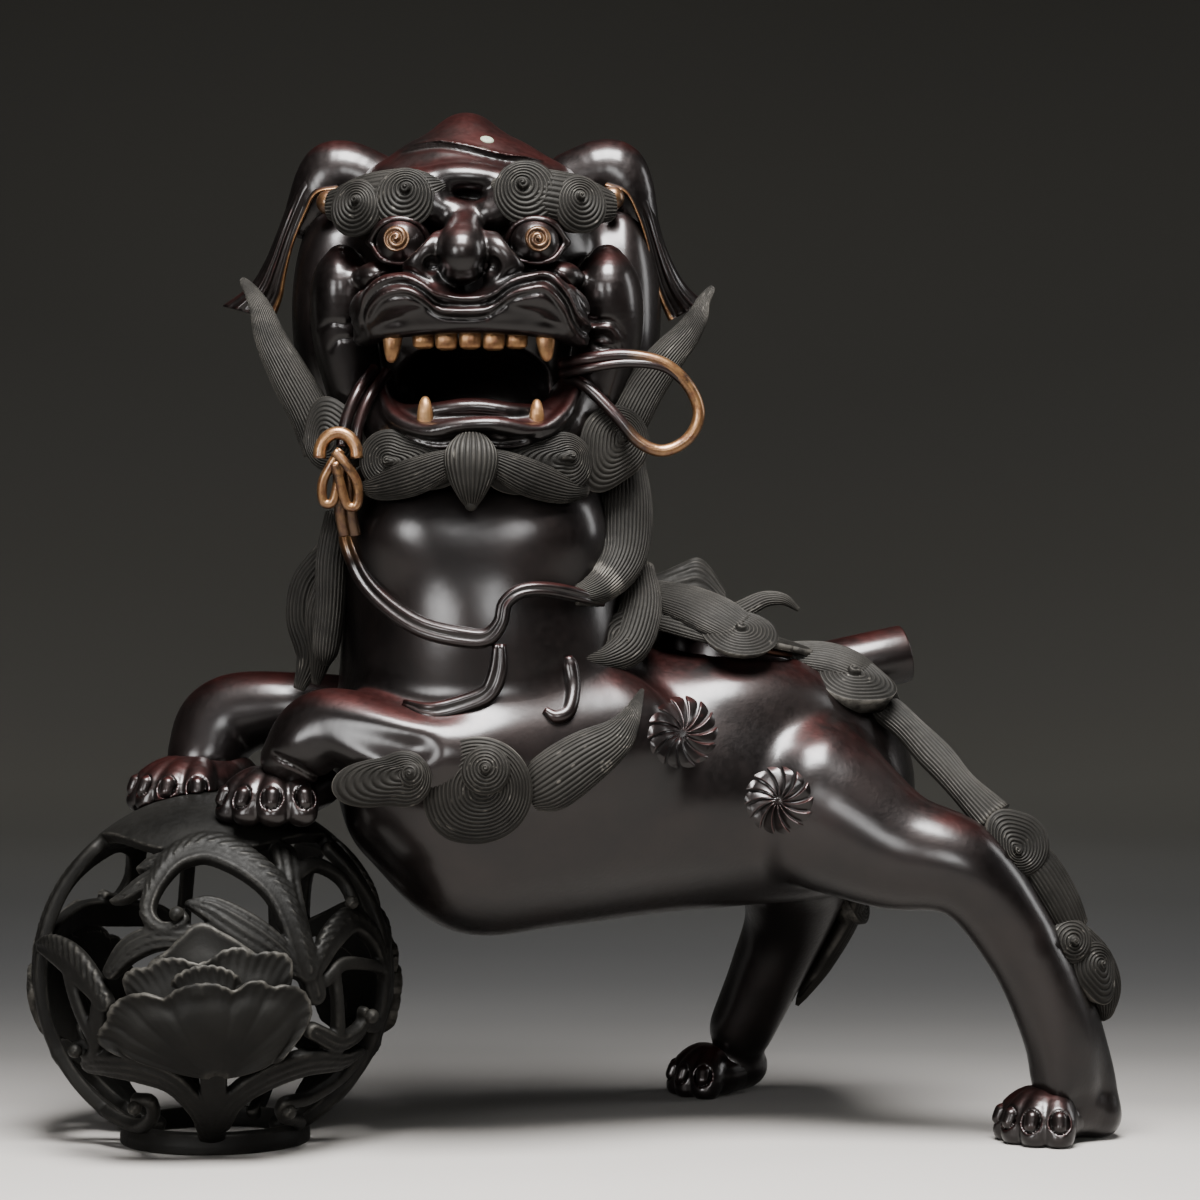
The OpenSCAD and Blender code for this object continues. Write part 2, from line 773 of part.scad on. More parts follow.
module openwork_ball() {
    color(bronze) placed() above_floor() translate(ball_at) difference() {
        union() {
            sphere(ball_r, $fn = round_fn);
            translate([0, 0, -ball_at[2]]) cylinder(d = ball_foot_d, h = 1.5 * ball_foot_h, $fn = round_fn);
        }
        sphere(ball_r - ball_wall, $fn = round_fn);
        translate([0, 0, -2 * ball_r]) cylinder(r = ball_foot_in, h = 1.5 * ball_r, $fn = round_fn);
        for (k = [0:peonies - 1])
            for (s = ball_slots)
                ball_slot(k * 360 / peonies - 90 + s[0], s[1], s[2]);
    }
}
module flower_layer(count, ring, h) {
    intersection() {
        rotate([0, 90, 0])
        linear_extrude(height = ball_r + h) {
            circle(ring + petal_r / 3, $fn = round_fn);
            for (i = [0:count - 1])
                rotate((i + 0.5) * 360 / count)
                translate([ring, 0])
                circle(petal_r - h / 2, $fn = round_fn);
        }
        sphere(ball_r + h, $fn = round_fn);
    }
}
module ball_peonies() {
    color(hair) placed() translate(ball_at) difference() {
        for (k = [0:peonies - 1])
            rotate([0, 0, k * 360 / peonies - 90])
            rotate([0, -flower_lift, 0])
            for (f = flower_layers)
                flower_layer(f[0], f[1], f[2]);
        sphere(ball_r + braze_gap, $fn = round_fn);
    }
}
module paw_dowels() color(copper) placed() dowels_form();
module hearth_collar() {
    color(bronze) placed() at_hearth() difference() {
        translate([0, 0, collar_top - collar_h]) cylinder(r = collar_r, h = collar_h, $fn = round_fn);
        translate([0, 0, collar_top - collar_h - over])
        cylinder(r = collar_in, h = collar_h + 2 * over, $fn = round_fn);
    }
}
// half section of the bowl: outside from the rim down, then inside back up
module bowl_section() {
    difference() {
        union() {
            translate([0, rim_z - bowl_depth + bowl_round])
            square([bowl_r, bowl_depth - bowl_round + bowl_rim_t]);
            translate([0, rim_z - bowl_depth]) square([bowl_r - bowl_round, bowl_round]);
            translate([bowl_r - bowl_round, rim_z - bowl_depth + bowl_round])
            circle(bowl_round, $fn = round_fn);
            translate([0, rim_z]) square([bowl_r + bowl_rim, bowl_rim_t]);
        }
        translate([0, rim_z - bowl_depth + bowl_round]) square([bowl_in, bowl_depth + bowl_round]);
        translate([0, rim_z - bowl_depth + bowl_wall]) square([bowl_r - bowl_round, bowl_round]);
        translate([bowl_r - bowl_round, rim_z - bowl_depth + bowl_round])
        circle(bowl_round - bowl_wall, $fn = round_fn);
    }
}
module ash_bowl() color(copper) placed() at_hearth() rotate_extrude($fn = round_fn) bowl_section();
module lid_plate() {
    color(hair) placed() at_hearth() {
        translate([0, 0, lid_z]) linear_extrude(height = lid_t) {
            circle(lid_r, $fn = round_fn);
            for (i = [0:lid_lobes - 1])
                rotate(i * 360 / lid_lobes + lid_lobe_turn)
                translate([lid_r - lid_lobe_in, 0])
                circle(lid_lobe_r, $fn = round_fn);
        }
        translate([0, 0, lid_z - spigot_l]) difference() {
            cylinder(r = bowl_in - lid_play, h = spigot_l + lid_t / 2, $fn = round_fn);
            translate([0, 0, -over])
            cylinder(r = bowl_in - lid_play - spigot_wall, h = spigot_l + over, $fn = round_fn);
        }
    }
}
// a lock on the lid starts level with the top of the plate and is cut to lie on it
module lid_lock(path) {
    color(hair) placed() at_hearth() difference() {
        translate([0, 0, lid_top]) limb(path, 0, small_fn);
        translate([0, 0, lid_z - spigot_l])
        cylinder(r = lid_reach + braze_gap, h = spigot_l + lid_t + braze_gap, $fn = round_fn);
    }
}
module lid_near_curl() lid_lock(near_curl_form);
module lid_far_lock() lid_lock(far_lock_form);
module lid_rear_lock() lid_lock(rear_lock_form);

torso_shell();
head_shell();
lower_jaw();
tongue();
eyes();
incisor_row();
upper_fangs();
lower_fangs();
left_ear();
right_ear();
left_brow_curls();
right_brow_curls();
crown_plug();
left_cheek_lock();
right_cheek_lock();
left_beard();
right_beard();
chin_tuft();
cord_loop();
cord_knot();
chest_cord();
chest_straps();
left_neck_lock();
right_neck_mane();
near_foreleg();
far_foreleg();
near_forepaw();
far_forepaw();
near_shoulder_flame();
far_shoulder_flame();
near_hind_leg();
far_hind_leg();
near_leg_mane();
far_leg_mane();
spine_mane();
tail_socket();
openwork_ball();
ball_peonies();
paw_dowels();
hearth_collar();
ash_bowl();
lid_plate();
lid_near_curl();
lid_far_lock();
lid_rear_lock();
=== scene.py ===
import math
import bpy
import numpy as np
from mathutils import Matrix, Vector


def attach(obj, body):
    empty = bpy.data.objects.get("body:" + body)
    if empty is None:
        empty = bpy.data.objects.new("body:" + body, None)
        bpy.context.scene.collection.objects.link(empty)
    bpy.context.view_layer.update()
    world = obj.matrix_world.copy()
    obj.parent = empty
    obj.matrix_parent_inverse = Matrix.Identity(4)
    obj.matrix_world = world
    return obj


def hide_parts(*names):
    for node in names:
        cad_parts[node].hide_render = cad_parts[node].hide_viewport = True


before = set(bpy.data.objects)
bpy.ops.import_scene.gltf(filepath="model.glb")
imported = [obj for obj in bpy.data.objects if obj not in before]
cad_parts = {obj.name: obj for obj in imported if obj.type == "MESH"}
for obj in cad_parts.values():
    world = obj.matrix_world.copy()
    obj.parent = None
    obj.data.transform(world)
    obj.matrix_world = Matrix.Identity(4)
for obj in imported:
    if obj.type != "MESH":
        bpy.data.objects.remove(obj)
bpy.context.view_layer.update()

# The forms are sculpted in millimetres, with Y = 0 at the ball's middle. FOOTPRINT is the origin there.
FOOTPRINT = np.array([-1.8, 26.0, 0.0])
COARSE = 1.0
FAR = 50.0
MM = 1000  # in a metre


def unit(v):
    v = np.asarray(v, float)
    return v / np.linalg.norm(v, axis=-1, keepdims=True)


def shift(rows, at):
    return [[r[0] + at[0], r[1] + at[1], r[2] + at[2], *r[3:]] for r in rows]


def flip(rows):
    return [[-r[0], *r[1:]] for r in rows]


def spline(path, steps):
    """Rows of a smooth curve through the rows of path."""
    p = np.asarray(path, float)
    if len(p) < 3 or steps == 1:
        return p
    p = np.vstack([2 * p[0] - p[1], p, 2 * p[-1] - p[-2]])
    t = (np.arange(steps) / steps)[:, None, None]
    a, b, c, d = p[:-3], p[1:-2], p[2:-1], p[3:]
    rows = b + 0.5 * t * (c - a + t * (2 * a - 5 * b + 4 * c - d + t * (3 * (b - c) + d - a)))
    return np.vstack([rows.transpose(1, 0, 2).reshape(-1, p.shape[1]), p[-2]])


def bell(v, middle, width):
    return np.exp(-((v - middle) / width) ** 2)


def melt(a, b, k):
    """The nearer of two distances, with their meeting rounded over k."""
    if not k:
        return np.minimum(a, b)
    h = np.maximum(k - np.abs(a - b), 0) / k
    return np.minimum(a, b) - h * h * (k / 4)


def line_distance(x, z, line):
    """Distance in a plane to a run of points, and how far along the run (0 to 1)."""
    best, along = np.full(np.broadcast(x, z).shape, 1e6), 0.0
    last = len(line) - 1
    for i, (a, b) in enumerate(zip(line[:-1], line[1:])):
        v = b - a
        t = np.clip(((x - a[0]) * v[0] + (z - a[1]) * v[1]) / max(v @ v, 1e-9), 0, 1)
        d = np.hypot(x - a[0] - t * v[0], z - a[1] - t * v[1])
        along = np.where(d < best, (i + t) / last, along)
        best = np.minimum(best, d)
    return best, along


class Clay:
    """A block of clay: distance to the surface at each point of a grid. Its forms are placed from at."""

    def __init__(self, low, high, step, at=(0.0, 0.0, 0.0)):
        self.step = step * COARSE
        self.at = np.asarray(at, float)
        ends = zip(self.at + low, self.at + high)
        self.axes = [np.arange(l, h + self.step, self.step, dtype=np.float32) for l, h in ends]
        self.d = np.full([len(a) for a in self.axes], FAR, np.float32)

    def window(self, low, high):
        """The part of the grid between two corners: its slices and its points."""
        cut = []
        for a, l, h in zip(self.axes, low, high):
            i = int(np.searchsorted(a, l))
            cut.append(slice(i, max(i, int(np.searchsorted(a, h)))))
        points = np.meshgrid(*[a[c] for a, c in zip(self.axes, cut)], indexing="ij", sparse=True)
        return tuple(cut), points

    def limb(self, path, k=0.0, carve=False, steps=4, margin=9.0):
        """Adds or carves a chain of eggs, each [x, y, z, rx, ry, rz], with its meeting rounded over k."""
        rows = spline(shift(path, self.at), steps)
        rows[:, 3:] = np.maximum(rows[:, 3:], 0.4)
        margin = max(margin, 2 * k + 3)
        if len(rows) == 1:
            rows = np.vstack([rows, rows])
        ends = rows[:, :3] - rows[:, 3:] - margin, rows[:, :3] + rows[:, 3:] + margin
        whole, _ = self.window(ends[0].min(0), ends[1].max(0))
        near = np.full(self.d[whole].shape, FAR, np.float32)
        for n, (a, b) in enumerate(zip(rows[:-1], rows[1:])):
            cut, grid = self.window(ends[0][n:n + 2].min(0), ends[1][n:n + 2].max(0))
            if any(c.stop <= c.start for c in cut):
                continue
            v = b - a
            pull = v[:3] / ((a[3:] + b[3:]) / 2) ** 2
            pull = pull / max(float(v[:3] @ pull), 1e-9)
            t = np.clip(sum((g - float(a[i])) * float(pull[i]) for i, g in enumerate(grid)), 0, 1)
            inner = outer = 0.0
            for i, g in enumerate(grid):
                r = float(a[3 + i]) + t * float(v[3 + i])
                u = (g - float(a[i]) - t * float(v[i])) / r
                inner = inner + u * u
                outer = outer + (u / r) ** 2
            inner = np.sqrt(inner)
            d = inner * (inner - 1) / np.sqrt(outer + 1e-9)
            spot = tuple(slice(c.start - w.start, c.stop - w.start) for c, w in zip(cut, whole))
            near[spot] = np.minimum(near[spot], d)
        side = -1 if carve else 1
        self.d[whole] = side * melt(side * self.d[whole], near, k)

    def eggs(self, rows, k=0.0, carve=False):
        for row in rows:
            self.limb([row], k, carve)

    def draw(self, line, width, depth, back, steps=6):
        """Presses a line in [x, z] into what lies before y = back, or raises it where depth is below zero."""
        line = spline(np.add(line, self.at[[0, 2]]), steps)
        low, high = line.min(0) - 3 * width, line.max(0) + 3 * width
        cut, (x, y, z) = self.window((low[0], -1e3, low[1]), (high[0], back, high[1]))
        d, along = line_distance(x[:, 0, :], z[:, 0, :], line)
        press = depth * bell(d, 0, width) * np.sqrt(np.clip(np.sin(np.pi * along) * 1.6, 0, 1))
        self.d[cut] += press[:, None, :].astype(np.float32)

    def stand(self, floor=0.2):
        """Cuts the form off level, just above the ground."""
        self.d = np.maximum(self.d, floor - self.axes[2][None, None, :])

    def soften(self, rounds):
        """Rubs the surface smooth."""
        for _ in range(rounds):
            for axis in range(3):
                d = np.moveaxis(self.d, axis, 0)
                d[1:-1] = (d[:-2] + 2 * d[1:-1] + d[2:]) / 4

    def skin(self, rounds=1):
        """Vertices and quads of the surface: one vertex in each cell that the surface crosses."""
        d, inside = self.d, self.d < 0
        pair = (slice(None, -1), slice(1, None))
        corners = [(i, j, k) for i in (0, 1) for j in (0, 1) for k in (0, 1)]
        total = sum(inside[pair[i], pair[j], pair[k]].astype(np.int8) for i, j, k in corners)
        cell = np.argwhere((total > 0) & (total < 8))
        values = [d[tuple((cell + corner).T)].astype(float) for corner in corners]
        place, hits = np.zeros((len(cell), 3)), np.zeros(len(cell))
        for m, a in enumerate(corners):
            for n, b in enumerate(corners):
                if n > m and sum(abs(p - q) for p, q in zip(a, b)) == 1:
                    cross = (values[m] < 0) != (values[n] < 0)
                    t = np.where(cross, values[m] / np.where(cross, values[m] - values[n], 1), 0)
                    place += np.where(cross[:, None], np.array(a) + t[:, None] * np.subtract(b, a), 0)
                    hits += cross
        low = np.array([a[0] for a in self.axes], float)
        verts = low + self.step * (cell + place / hits[:, None])
        index = np.full(total.shape, -1, np.int32)
        index[tuple(cell.T)] = np.arange(len(cell))
        quads = []
        for axis in range(3):
            b, c = (axis + 1) % 3, (axis + 2) % 3
            first, second = [slice(1, -1)] * 3, [slice(1, -1)] * 3
            first[axis], second[axis] = pair
            one, two = inside[tuple(first)], inside[tuple(second)]
            for turn, mask in ((1, one & ~two), (-1, ~one & two)):
                at, ring = np.argwhere(mask), []
                for db, dc in ((0, 0), (1, 0), (1, 1), (0, 1)):
                    q = at.copy()
                    q[:, b] += db
                    q[:, c] += dc
                    ring.append(index[tuple(q.T)])
                quads.append(np.stack(ring[::turn], 1))
        quads = np.vstack(quads)
        return relax(verts, quads, rounds), [quads]


def modelled(low, high, step, limbs, rounds=3):
    """Clay for large forms: chains of eggs and how softly each joins, rubbed smooth and then refined."""
    rough, fine = Clay(low, high, 3 * step), Clay(low, high, step)
    for path, k in limbs:
        rough.limb(path, k, steps=7, margin=36)
    rough.soften(rounds)
    d = rough.d - 0.3
    for axis in range(3):
        n, m = len(fine.axes[axis]), d.shape[axis]
        u = np.clip((fine.axes[axis] - rough.axes[axis][0]) / rough.step, 0, m - 1.001)
        i = u.astype(int)
        t = u - i
        cubic = (1 - t) ** 3, 3 * t ** 3 - 6 * t ** 2 + 4, -3 * t ** 3 + 3 * t ** 2 + 3 * t + 1, t ** 3
        weights = np.zeros((n, m), np.float32)
        for j, w in enumerate(cubic):
            np.add.at(weights, (np.arange(n), np.clip(i + j - 1, 0, m - 1)), w / 6)
        d = np.moveaxis(np.tensordot(weights, d, (1, axis)), 0, axis)
    fine.d = np.ascontiguousarray(d)
    return fine


def relax(verts, quads, rounds):
    """Vertices drawn half way to the middle of their neighbours, a few times."""
    a = quads.ravel()
    b = np.roll(quads, -1, axis=1).ravel()
    count = np.maximum(np.bincount(a, minlength=len(verts)), 1)
    for _ in range(rounds):
        mean = np.stack([np.bincount(a, verts[b, i], len(verts)) for i in range(3)], 1) / count[:, None]
        verts = verts + 0.5 * (mean - verts)
    return verts


def tube_faces(rows, cols):
    """Quads of a tube of rows by cols points, and a fan at each end round an added point."""
    i = np.arange((rows - 1) * cols)
    j = i - i % cols + (i + 1) % cols
    ring, end, n = np.arange(cols), (rows - 1) * cols, rows * cols
    after = (ring + 1) % cols
    return [
        np.stack([i, i + cols, j + cols, j], 1),
        np.stack([np.full(cols, n), ring, after], 1),
        np.stack([np.full(cols, n + 1), end + after, end + ring], 1),
    ]


def tube(rings, start, end):
    """A closed form: a grid of points whose rows are rings, and a point that closes each end."""
    return np.vstack([rings.reshape(-1, 3), start, end]), tube_faces(*rings.shape[:2])


def circle(cols):
    return np.linspace(0, 2 * np.pi, cols, endpoint=False)


def around(turn, side, up):
    """Directions round a ring that lies along side and up."""
    return np.cos(turn)[None, :, None] * side + np.sin(turn)[None, :, None] * up


def frames(at, face):
    """Directions across and out of a run of points, where face says which way is out."""
    along = unit(np.gradient(at, axis=0))
    side = unit(np.cross(along, np.broadcast_to(np.asarray(face, float), at.shape)))
    return side, np.cross(side, along)


def lock(path, face, ribs, groove=0.5, steps=10, under=0.45):
    """A lock of hair: rows [x, y, z, half width, height], with ribs along it parted by grooves."""
    rows = spline(path, steps)
    rows[:, 3:] = np.maximum(rows[:, 3:], 0.25)
    at, wide, high = rows[:, :3], rows[:, 3, None], rows[:, 4, None]
    side, up = frames(at, face)
    below = 8
    cols = int(8 * ribs / COARSE) + 18 - below
    turn = np.concatenate([np.linspace(0, np.pi, cols), np.linspace(np.pi, 2 * np.pi, below + 2)[1:-1]])
    lift = np.sin(turn)
    ridge = np.where(lift > 1e-6, np.abs(np.sin(ribs * turn)) ** 0.7 - 1, 0)
    top = np.where(lift > 0, np.abs(lift) ** 0.75, lift * under)
    rise = high * top[None] + groove * np.clip(wide / 4, 0.1, 1) * ridge[None]
    ring = at[:, None] + wide[:, :, None] * np.cos(turn)[None, :, None] * side[:, None]
    return tube(ring + rise[:, :, None] * up[:, None], at[0], at[-1])


LEAF_POINTS = 57


def leaf(outer, inner, thick, bulge, dish, grooves, face=(0, -1, 0), steps=9):
    """A leaf between two edges, swelled beside the outer one, dished and rimmed beside the inner one."""
    o, i = spline(outer, steps), spline(inner, steps)
    v = np.linspace(0, 1, LEAF_POINTS)
    soft = 0.5 * thick * np.sqrt(np.clip(1 - (2 * v - 1) ** 2, 0, 1))
    along = np.linspace(0, 1, len(o))[:, None]
    full = np.clip(np.linalg.norm(i - o, axis=1) / 8, 0.12, 1)[:, None]
    swell = soft + bulge * bell(v, 0.3, 0.2) - dish * bell(v, 0.74, 0.12) + 0.9 * bell(v, 0.94, 0.045)
    field = np.clip(3 * along - 0.6, 0, 1) * (v < 0.86) * (v > 0.08)
    swell = swell - 0.3 * np.cos(2 * np.pi * grooves * v) * field
    flat = o[:, None] + v[None, :, None] * (i - o)[:, None]
    face = unit(face)
    over = flat + (full * swell)[:, :, None] * face
    back = flat - (full * soft)[:, :, None] * face
    ring = np.concatenate([over, back[:, -2:0:-1]], 1)
    rim = np.concatenate([np.clip((v - 0.86) / 0.05, 0, 1), np.zeros(len(v) - 2)])
    return *tube(ring, flat[0].mean(0), flat[-1].mean(0)), np.concatenate([np.tile(rim, len(o)), [0, 0]])


def cord(path, r, steps=10, cols=14):
    """A round bar along rows [x, y, z]."""
    rows = spline(path, steps)
    side, up = frames(rows, (0.13, -0.9, 0.41))
    return tube(rows[:, None] + r * around(circle(cols), side[:, None], up[:, None]), rows[0], rows[-1])


WHORL_POINTS, TURN_POINTS, TIP_WIDTH = 110, 9, 0.55


def whorl(at, face, r, rise, turns, hand=1, start=0.4, knob=0.17, deep=8, tip=None, ridge=0.5, eye=(0, 0)):
    """A round of hair: a low dome with one spiral ridge and a knob.

    tip is the angle and the length of its point, and eye is how far its middle is moved.
    """
    at, face = np.asarray(at), unit(face)
    side = unit(np.cross((0.0, 0.0, 1.0), face))
    up = np.cross(face, side)
    turn = circle(int(WHORL_POINTS / COARSE))
    radius = np.linspace(0.02, 1, int(TURN_POINTS * turns / COARSE) + 8)[:, None]
    reach = np.ones(len(turn))
    if tip:
        reach = reach + tip[1] * bell(np.angle(np.exp(1j * (turn - math.radians(tip[0])))), 0, TIP_WIDTH)
    phase = turns * radius - hand * (turn - start)[None, :] / (2 * np.pi)
    fade = np.clip((1.05 - radius) * 6, 0, 1)
    lift = rise * (1 - radius ** 2.4) + ridge * np.abs(np.sin(np.pi * phase)) * fade
    lift = lift + knob * r * np.sqrt(np.clip(1 - (radius / knob) ** 2, 0, 1))
    flat = (radius * r * reach)[:, :, None] * around(turn, side, up)
    flat = flat + (1 - radius)[:, :, None] * (eye[0] * side + eye[1] * up)
    skin = at + flat + lift[:, :, None] * face
    hem = skin[-1] - deep * face + 0.12 * (at - skin[-1])
    return tube(np.concatenate([skin, hem[None]]), skin[0].mean(0), hem.mean(0))


def turned(profile, at, axis, side, cols):
    """Points of an outline of [radius, height] turned about an axis."""
    p = np.asarray(profile, float)[:, :, None, None]
    return np.asarray(at) + p[:, 0] * around(circle(cols), side, np.cross(axis, side)) + p[:, 1] * axis


def lathe(profile, at, axis, cols=72, r=0.5):
    """A turned form: a closed outline of [radius, height] with its corners rounded by r."""
    axis = unit(axis)
    verts = turned(rounded(profile, r), at, axis, unit(np.cross(axis, (0.0, 1.0, 0.0))), cols).reshape(-1, 3)
    i = np.arange(len(verts))
    j = i - i % cols + (i + 1) % cols
    return verts, [np.stack([i, j, (j + cols) % len(verts), (i + cols) % len(verts)], 1)]


def rounded(profile, r, steps=4):
    """A closed outline with its corners rounded."""
    p = np.asarray(profile, float)
    out = []
    for a, b, c in zip(np.roll(p, 1, 0), p, np.roll(p, -1, 0)):
        u, v = a - b, c - b
        k = min(r, np.linalg.norm(u) / 2.2, np.linalg.norm(v) / 2.2)
        u, v = b + unit(u) * k, b + unit(v) * k
        for t in np.linspace(0, 1, steps):
            out.append((1 - t) ** 2 * u + 2 * t * (1 - t) * b + t * t * v)
    return np.array(out)


def knob_at(at, r, rows=18, cols=28):
    """A round knob."""
    axis = np.array([0.0, -1.0, 0.0])
    lat = np.linspace(-np.pi / 2 + 0.08, np.pi / 2 - 0.08, rows)
    outline = np.stack([np.cos(lat) * r, np.sin(lat) * r], 1)
    rings = turned(outline, at, axis, unit(np.cross(axis, (0.3, 0.2, 0.93))), cols)
    return tube(rings, np.asarray(at) - r * axis, np.asarray(at) + r * axis)


def outward(verts, faces):
    """The faces of a closed form, turned so that they look out of it."""
    v = verts - verts.mean(0)
    volume = 0.0
    for f in faces:
        for k in range(1, f.shape[1] - 1):
            volume += np.einsum("ij,ij->", v[f[:, 0]], np.cross(v[f[:, k]], v[f[:, k + 1]]))
    return faces if volume > 0 else [f[:, ::-1] for f in faces]


class Shader:
    """A material, and a short way to add its nodes."""

    def __init__(self, name):
        self.mat = bpy.data.materials.new(name)
        self.mat.use_nodes = True
        self.tree = self.mat.node_tree
        self.bsdf = self.tree.nodes["Principled BSDF"]
        self.where = self.add("TexCoord", {}, "Object")

    def feed(self, node, inputs):
        """Links each input that is given a socket, and sets each that is given a value."""
        for key, value in inputs.items():
            socket = node.inputs[key]
            if isinstance(value, bpy.types.NodeSocket):
                self.tree.links.new(value, socket)
            else:
                socket.default_value = (*value, 1) if socket.type == "RGBA" else value

    def add(self, kind, inputs, output=0, **settings):
        node = self.tree.nodes.new("ShaderNode" + kind)
        for key, value in settings.items():
            setattr(node, key, value)
        self.feed(node, inputs)
        return node.outputs[output]

    def noise(self, scale, detail, rough):
        inputs = {"Vector": self.where, "Scale": scale, "Detail": detail, "Roughness": rough}
        return self.add("TexNoise", inputs, "Fac")

    def ramp(self, value, low, high, top=1.0):
        inputs = {"Value": value, "From Min": low, "From Max": high, "To Max": top}
        return self.add("MapRange", inputs, "Result", interpolation_type="SMOOTHSTEP")

    def times(self, a, b):
        return self.add("Math", {0: a, 1: b}, operation="MULTIPLY")

    def blend(self, share, a, b):
        """Mixes two colours."""
        return self.add("Mix", {"Factor": share, 6: a, 7: b}, 2, data_type="RGBA")

    def level(self, share, a, b):
        """Mixes two numbers."""
        return self.add("Mix", {"Factor": share, 2: a, 3: b})

    def bump(self, height, strength, distance, **normal):
        inputs = {"Height": height, "Strength": strength, "Distance": distance, **normal}
        return self.add("Bump", inputs, "Normal")


MATERIALS = {}
GOLD_LEAF, RUBBED_GOLD = (0.19, 0.1, 0.041), (0.1, 0.041, 0.018)


def patina(name, dark, light, worn, dust, rough, metal=0.85, wear=0.5, gloss=0.0, rub=0.0, spec=0.5):
    """An old cast surface: mottled, worn on ridges and upper sides, dusty in hollows, gilt in places."""
    s = Shader(name)
    point = s.add("NewGeometry", {}, "Pointiness")
    cloud, speck, fleck = s.noise(30.0, 4.0, 0.6), s.noise(420.0, 5.0, 0.65), s.noise(110.0, 5.0, 0.7)
    colour = s.blend(s.ramp(cloud, 0.35, 0.7), dark, light)
    if rub:
        height = s.add("SeparateXYZ", {0: s.add("NewGeometry", {}, "Normal")}, "Z")
        upper = s.times(s.ramp(height, 0.45, 0.95, rub), s.ramp(s.noise(24.0, 5.0, 0.65), 0.36, 0.62))
        colour = s.blend(upper, colour, worn)
    hollow = s.ramp(point, 0.5, 0.43)
    colour = s.blend(s.times(hollow, s.ramp(speck, 0.25, 0.6, 0.9)), colour, dust)
    colour = s.blend(s.times(s.ramp(point, 0.51, 0.57, wear), s.ramp(fleck, 0.36, 0.6)), colour, worn)
    marked = s.add("Attribute", {}, "Fac", attribute_name="gilt")
    gilt = s.times(marked, s.ramp(s.noise(160.0, 5.0, 0.7), 0.28, 0.5))
    colour = s.blend(gilt, colour, s.blend(s.ramp(speck, 0.4, 0.7), GOLD_LEAF, RUBBED_GOLD))
    dull = s.level(s.ramp(speck, 0.3, 0.75), rough, rough + 0.14)
    dull = s.level(s.ramp(cloud, 0.4, 0.7, 0.5), dull, rough + 0.2)
    dull = s.level(gilt, s.level(hollow, dull, 0.7), 0.36)
    wave = s.bump(s.noise(46.0, 3.0, 0.5), 0.16, 0.0016)
    grain = s.bump(s.noise(700.0, 4.0, 0.6), 0.25, 0.0004, Normal=wave)
    s.feed(s.bsdf, {
        "Base Color": colour, "Roughness": dull, "Metallic": s.level(hollow, metal, 0.2),
        "Specular IOR Level": spec,
        "Coat Weight": gloss, "Coat Roughness": 0.22, "Normal": grain, "Coat Normal": wave,
    })
    MATERIALS[name] = s.mat


patina("bronze", (0.0046, 0.0034, 0.0032), (0.0091, 0.0062, 0.0056), (0.034, 0.0072, 0.0062),
       (0.0084, 0.0075, 0.0068), 0.36, gloss=0.46, rub=0.85, spec=0.3)
patina("hair_bronze", (0.0062, 0.0057, 0.0049), (0.0125, 0.0114, 0.0098), (0.06, 0.055, 0.0475),
       (0.0027, 0.0025, 0.0021), 0.5, metal=0.45, wear=0.9, spec=0.12)
patina("ball_bronze", (0.003, 0.0028, 0.0024), (0.006, 0.0056, 0.0048), (0.042, 0.039, 0.0335),
       (0.0022, 0.002, 0.0018), 0.48, metal=0.5, wear=0.8, spec=0.13)
patina("gilt", (0.12, 0.065, 0.028), (0.18, 0.11, 0.05), (0.24, 0.16, 0.083), (0.018, 0.009, 0.006),
       0.42, metal=0.7)
patina("copper", (0.049, 0.023, 0.016), (0.091, 0.043, 0.029), (0.17, 0.078, 0.046), (0.023, 0.019, 0.016),
       0.45)
patina("verdigris", (0.078, 0.099, 0.066), (0.12, 0.14, 0.099), (0.15, 0.16, 0.11), (0.03, 0.033, 0.024),
       0.6, metal=0.2)


def new_thing(name, data):
    thing = bpy.data.objects.new(name, data)
    bpy.context.scene.collection.objects.link(thing)
    return thing


def piece(node, parts, slot="bronze", body="lion", replaces=True):
    """One object from closed parts of [vertices, faces, gilt], in place of the CAD node of that name."""
    verts, loops, sizes, gilt, base = [], [], [], [], 0
    for v, faces, *gold in parts:
        verts.append(v)
        gilt.append(np.broadcast_to(np.asarray(gold[0] if gold else 0.0, float), len(v)))
        for f in outward(v, faces):
            loops.append(f.ravel() + base)
            sizes.append(np.full(len(f), f.shape[1]))
        base += len(v)
    verts = (np.vstack(verts) - FOOTPRINT) / MM
    loops, sizes = np.concatenate(loops), np.concatenate(sizes)
    mesh = bpy.data.meshes.new(node + "_look")
    mesh.vertices.add(len(verts))
    mesh.vertices.foreach_set("co", verts.astype(np.float32).ravel())
    mesh.loops.add(len(loops))
    mesh.loops.foreach_set("vertex_index", loops.astype(np.int32))
    mesh.polygons.add(len(sizes))
    mesh.polygons.foreach_set("loop_start", (np.cumsum(sizes) - sizes).astype(np.int32))
    mesh.update(calc_edges=True)
    mesh.shade_smooth()
    gold = mesh.attributes.new("gilt", "FLOAT", "POINT").data
    gold.foreach_set("value", np.concatenate(gilt).astype(np.float32))
    mesh.materials.append(MATERIALS[slot])
    thing = new_thing(node + "_look", mesh)
    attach(thing, body)
    if replaces:
        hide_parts(node)
    return thing


def hair(node, *parts, body="lion"):
    piece(node, parts, "hair_bronze", body)


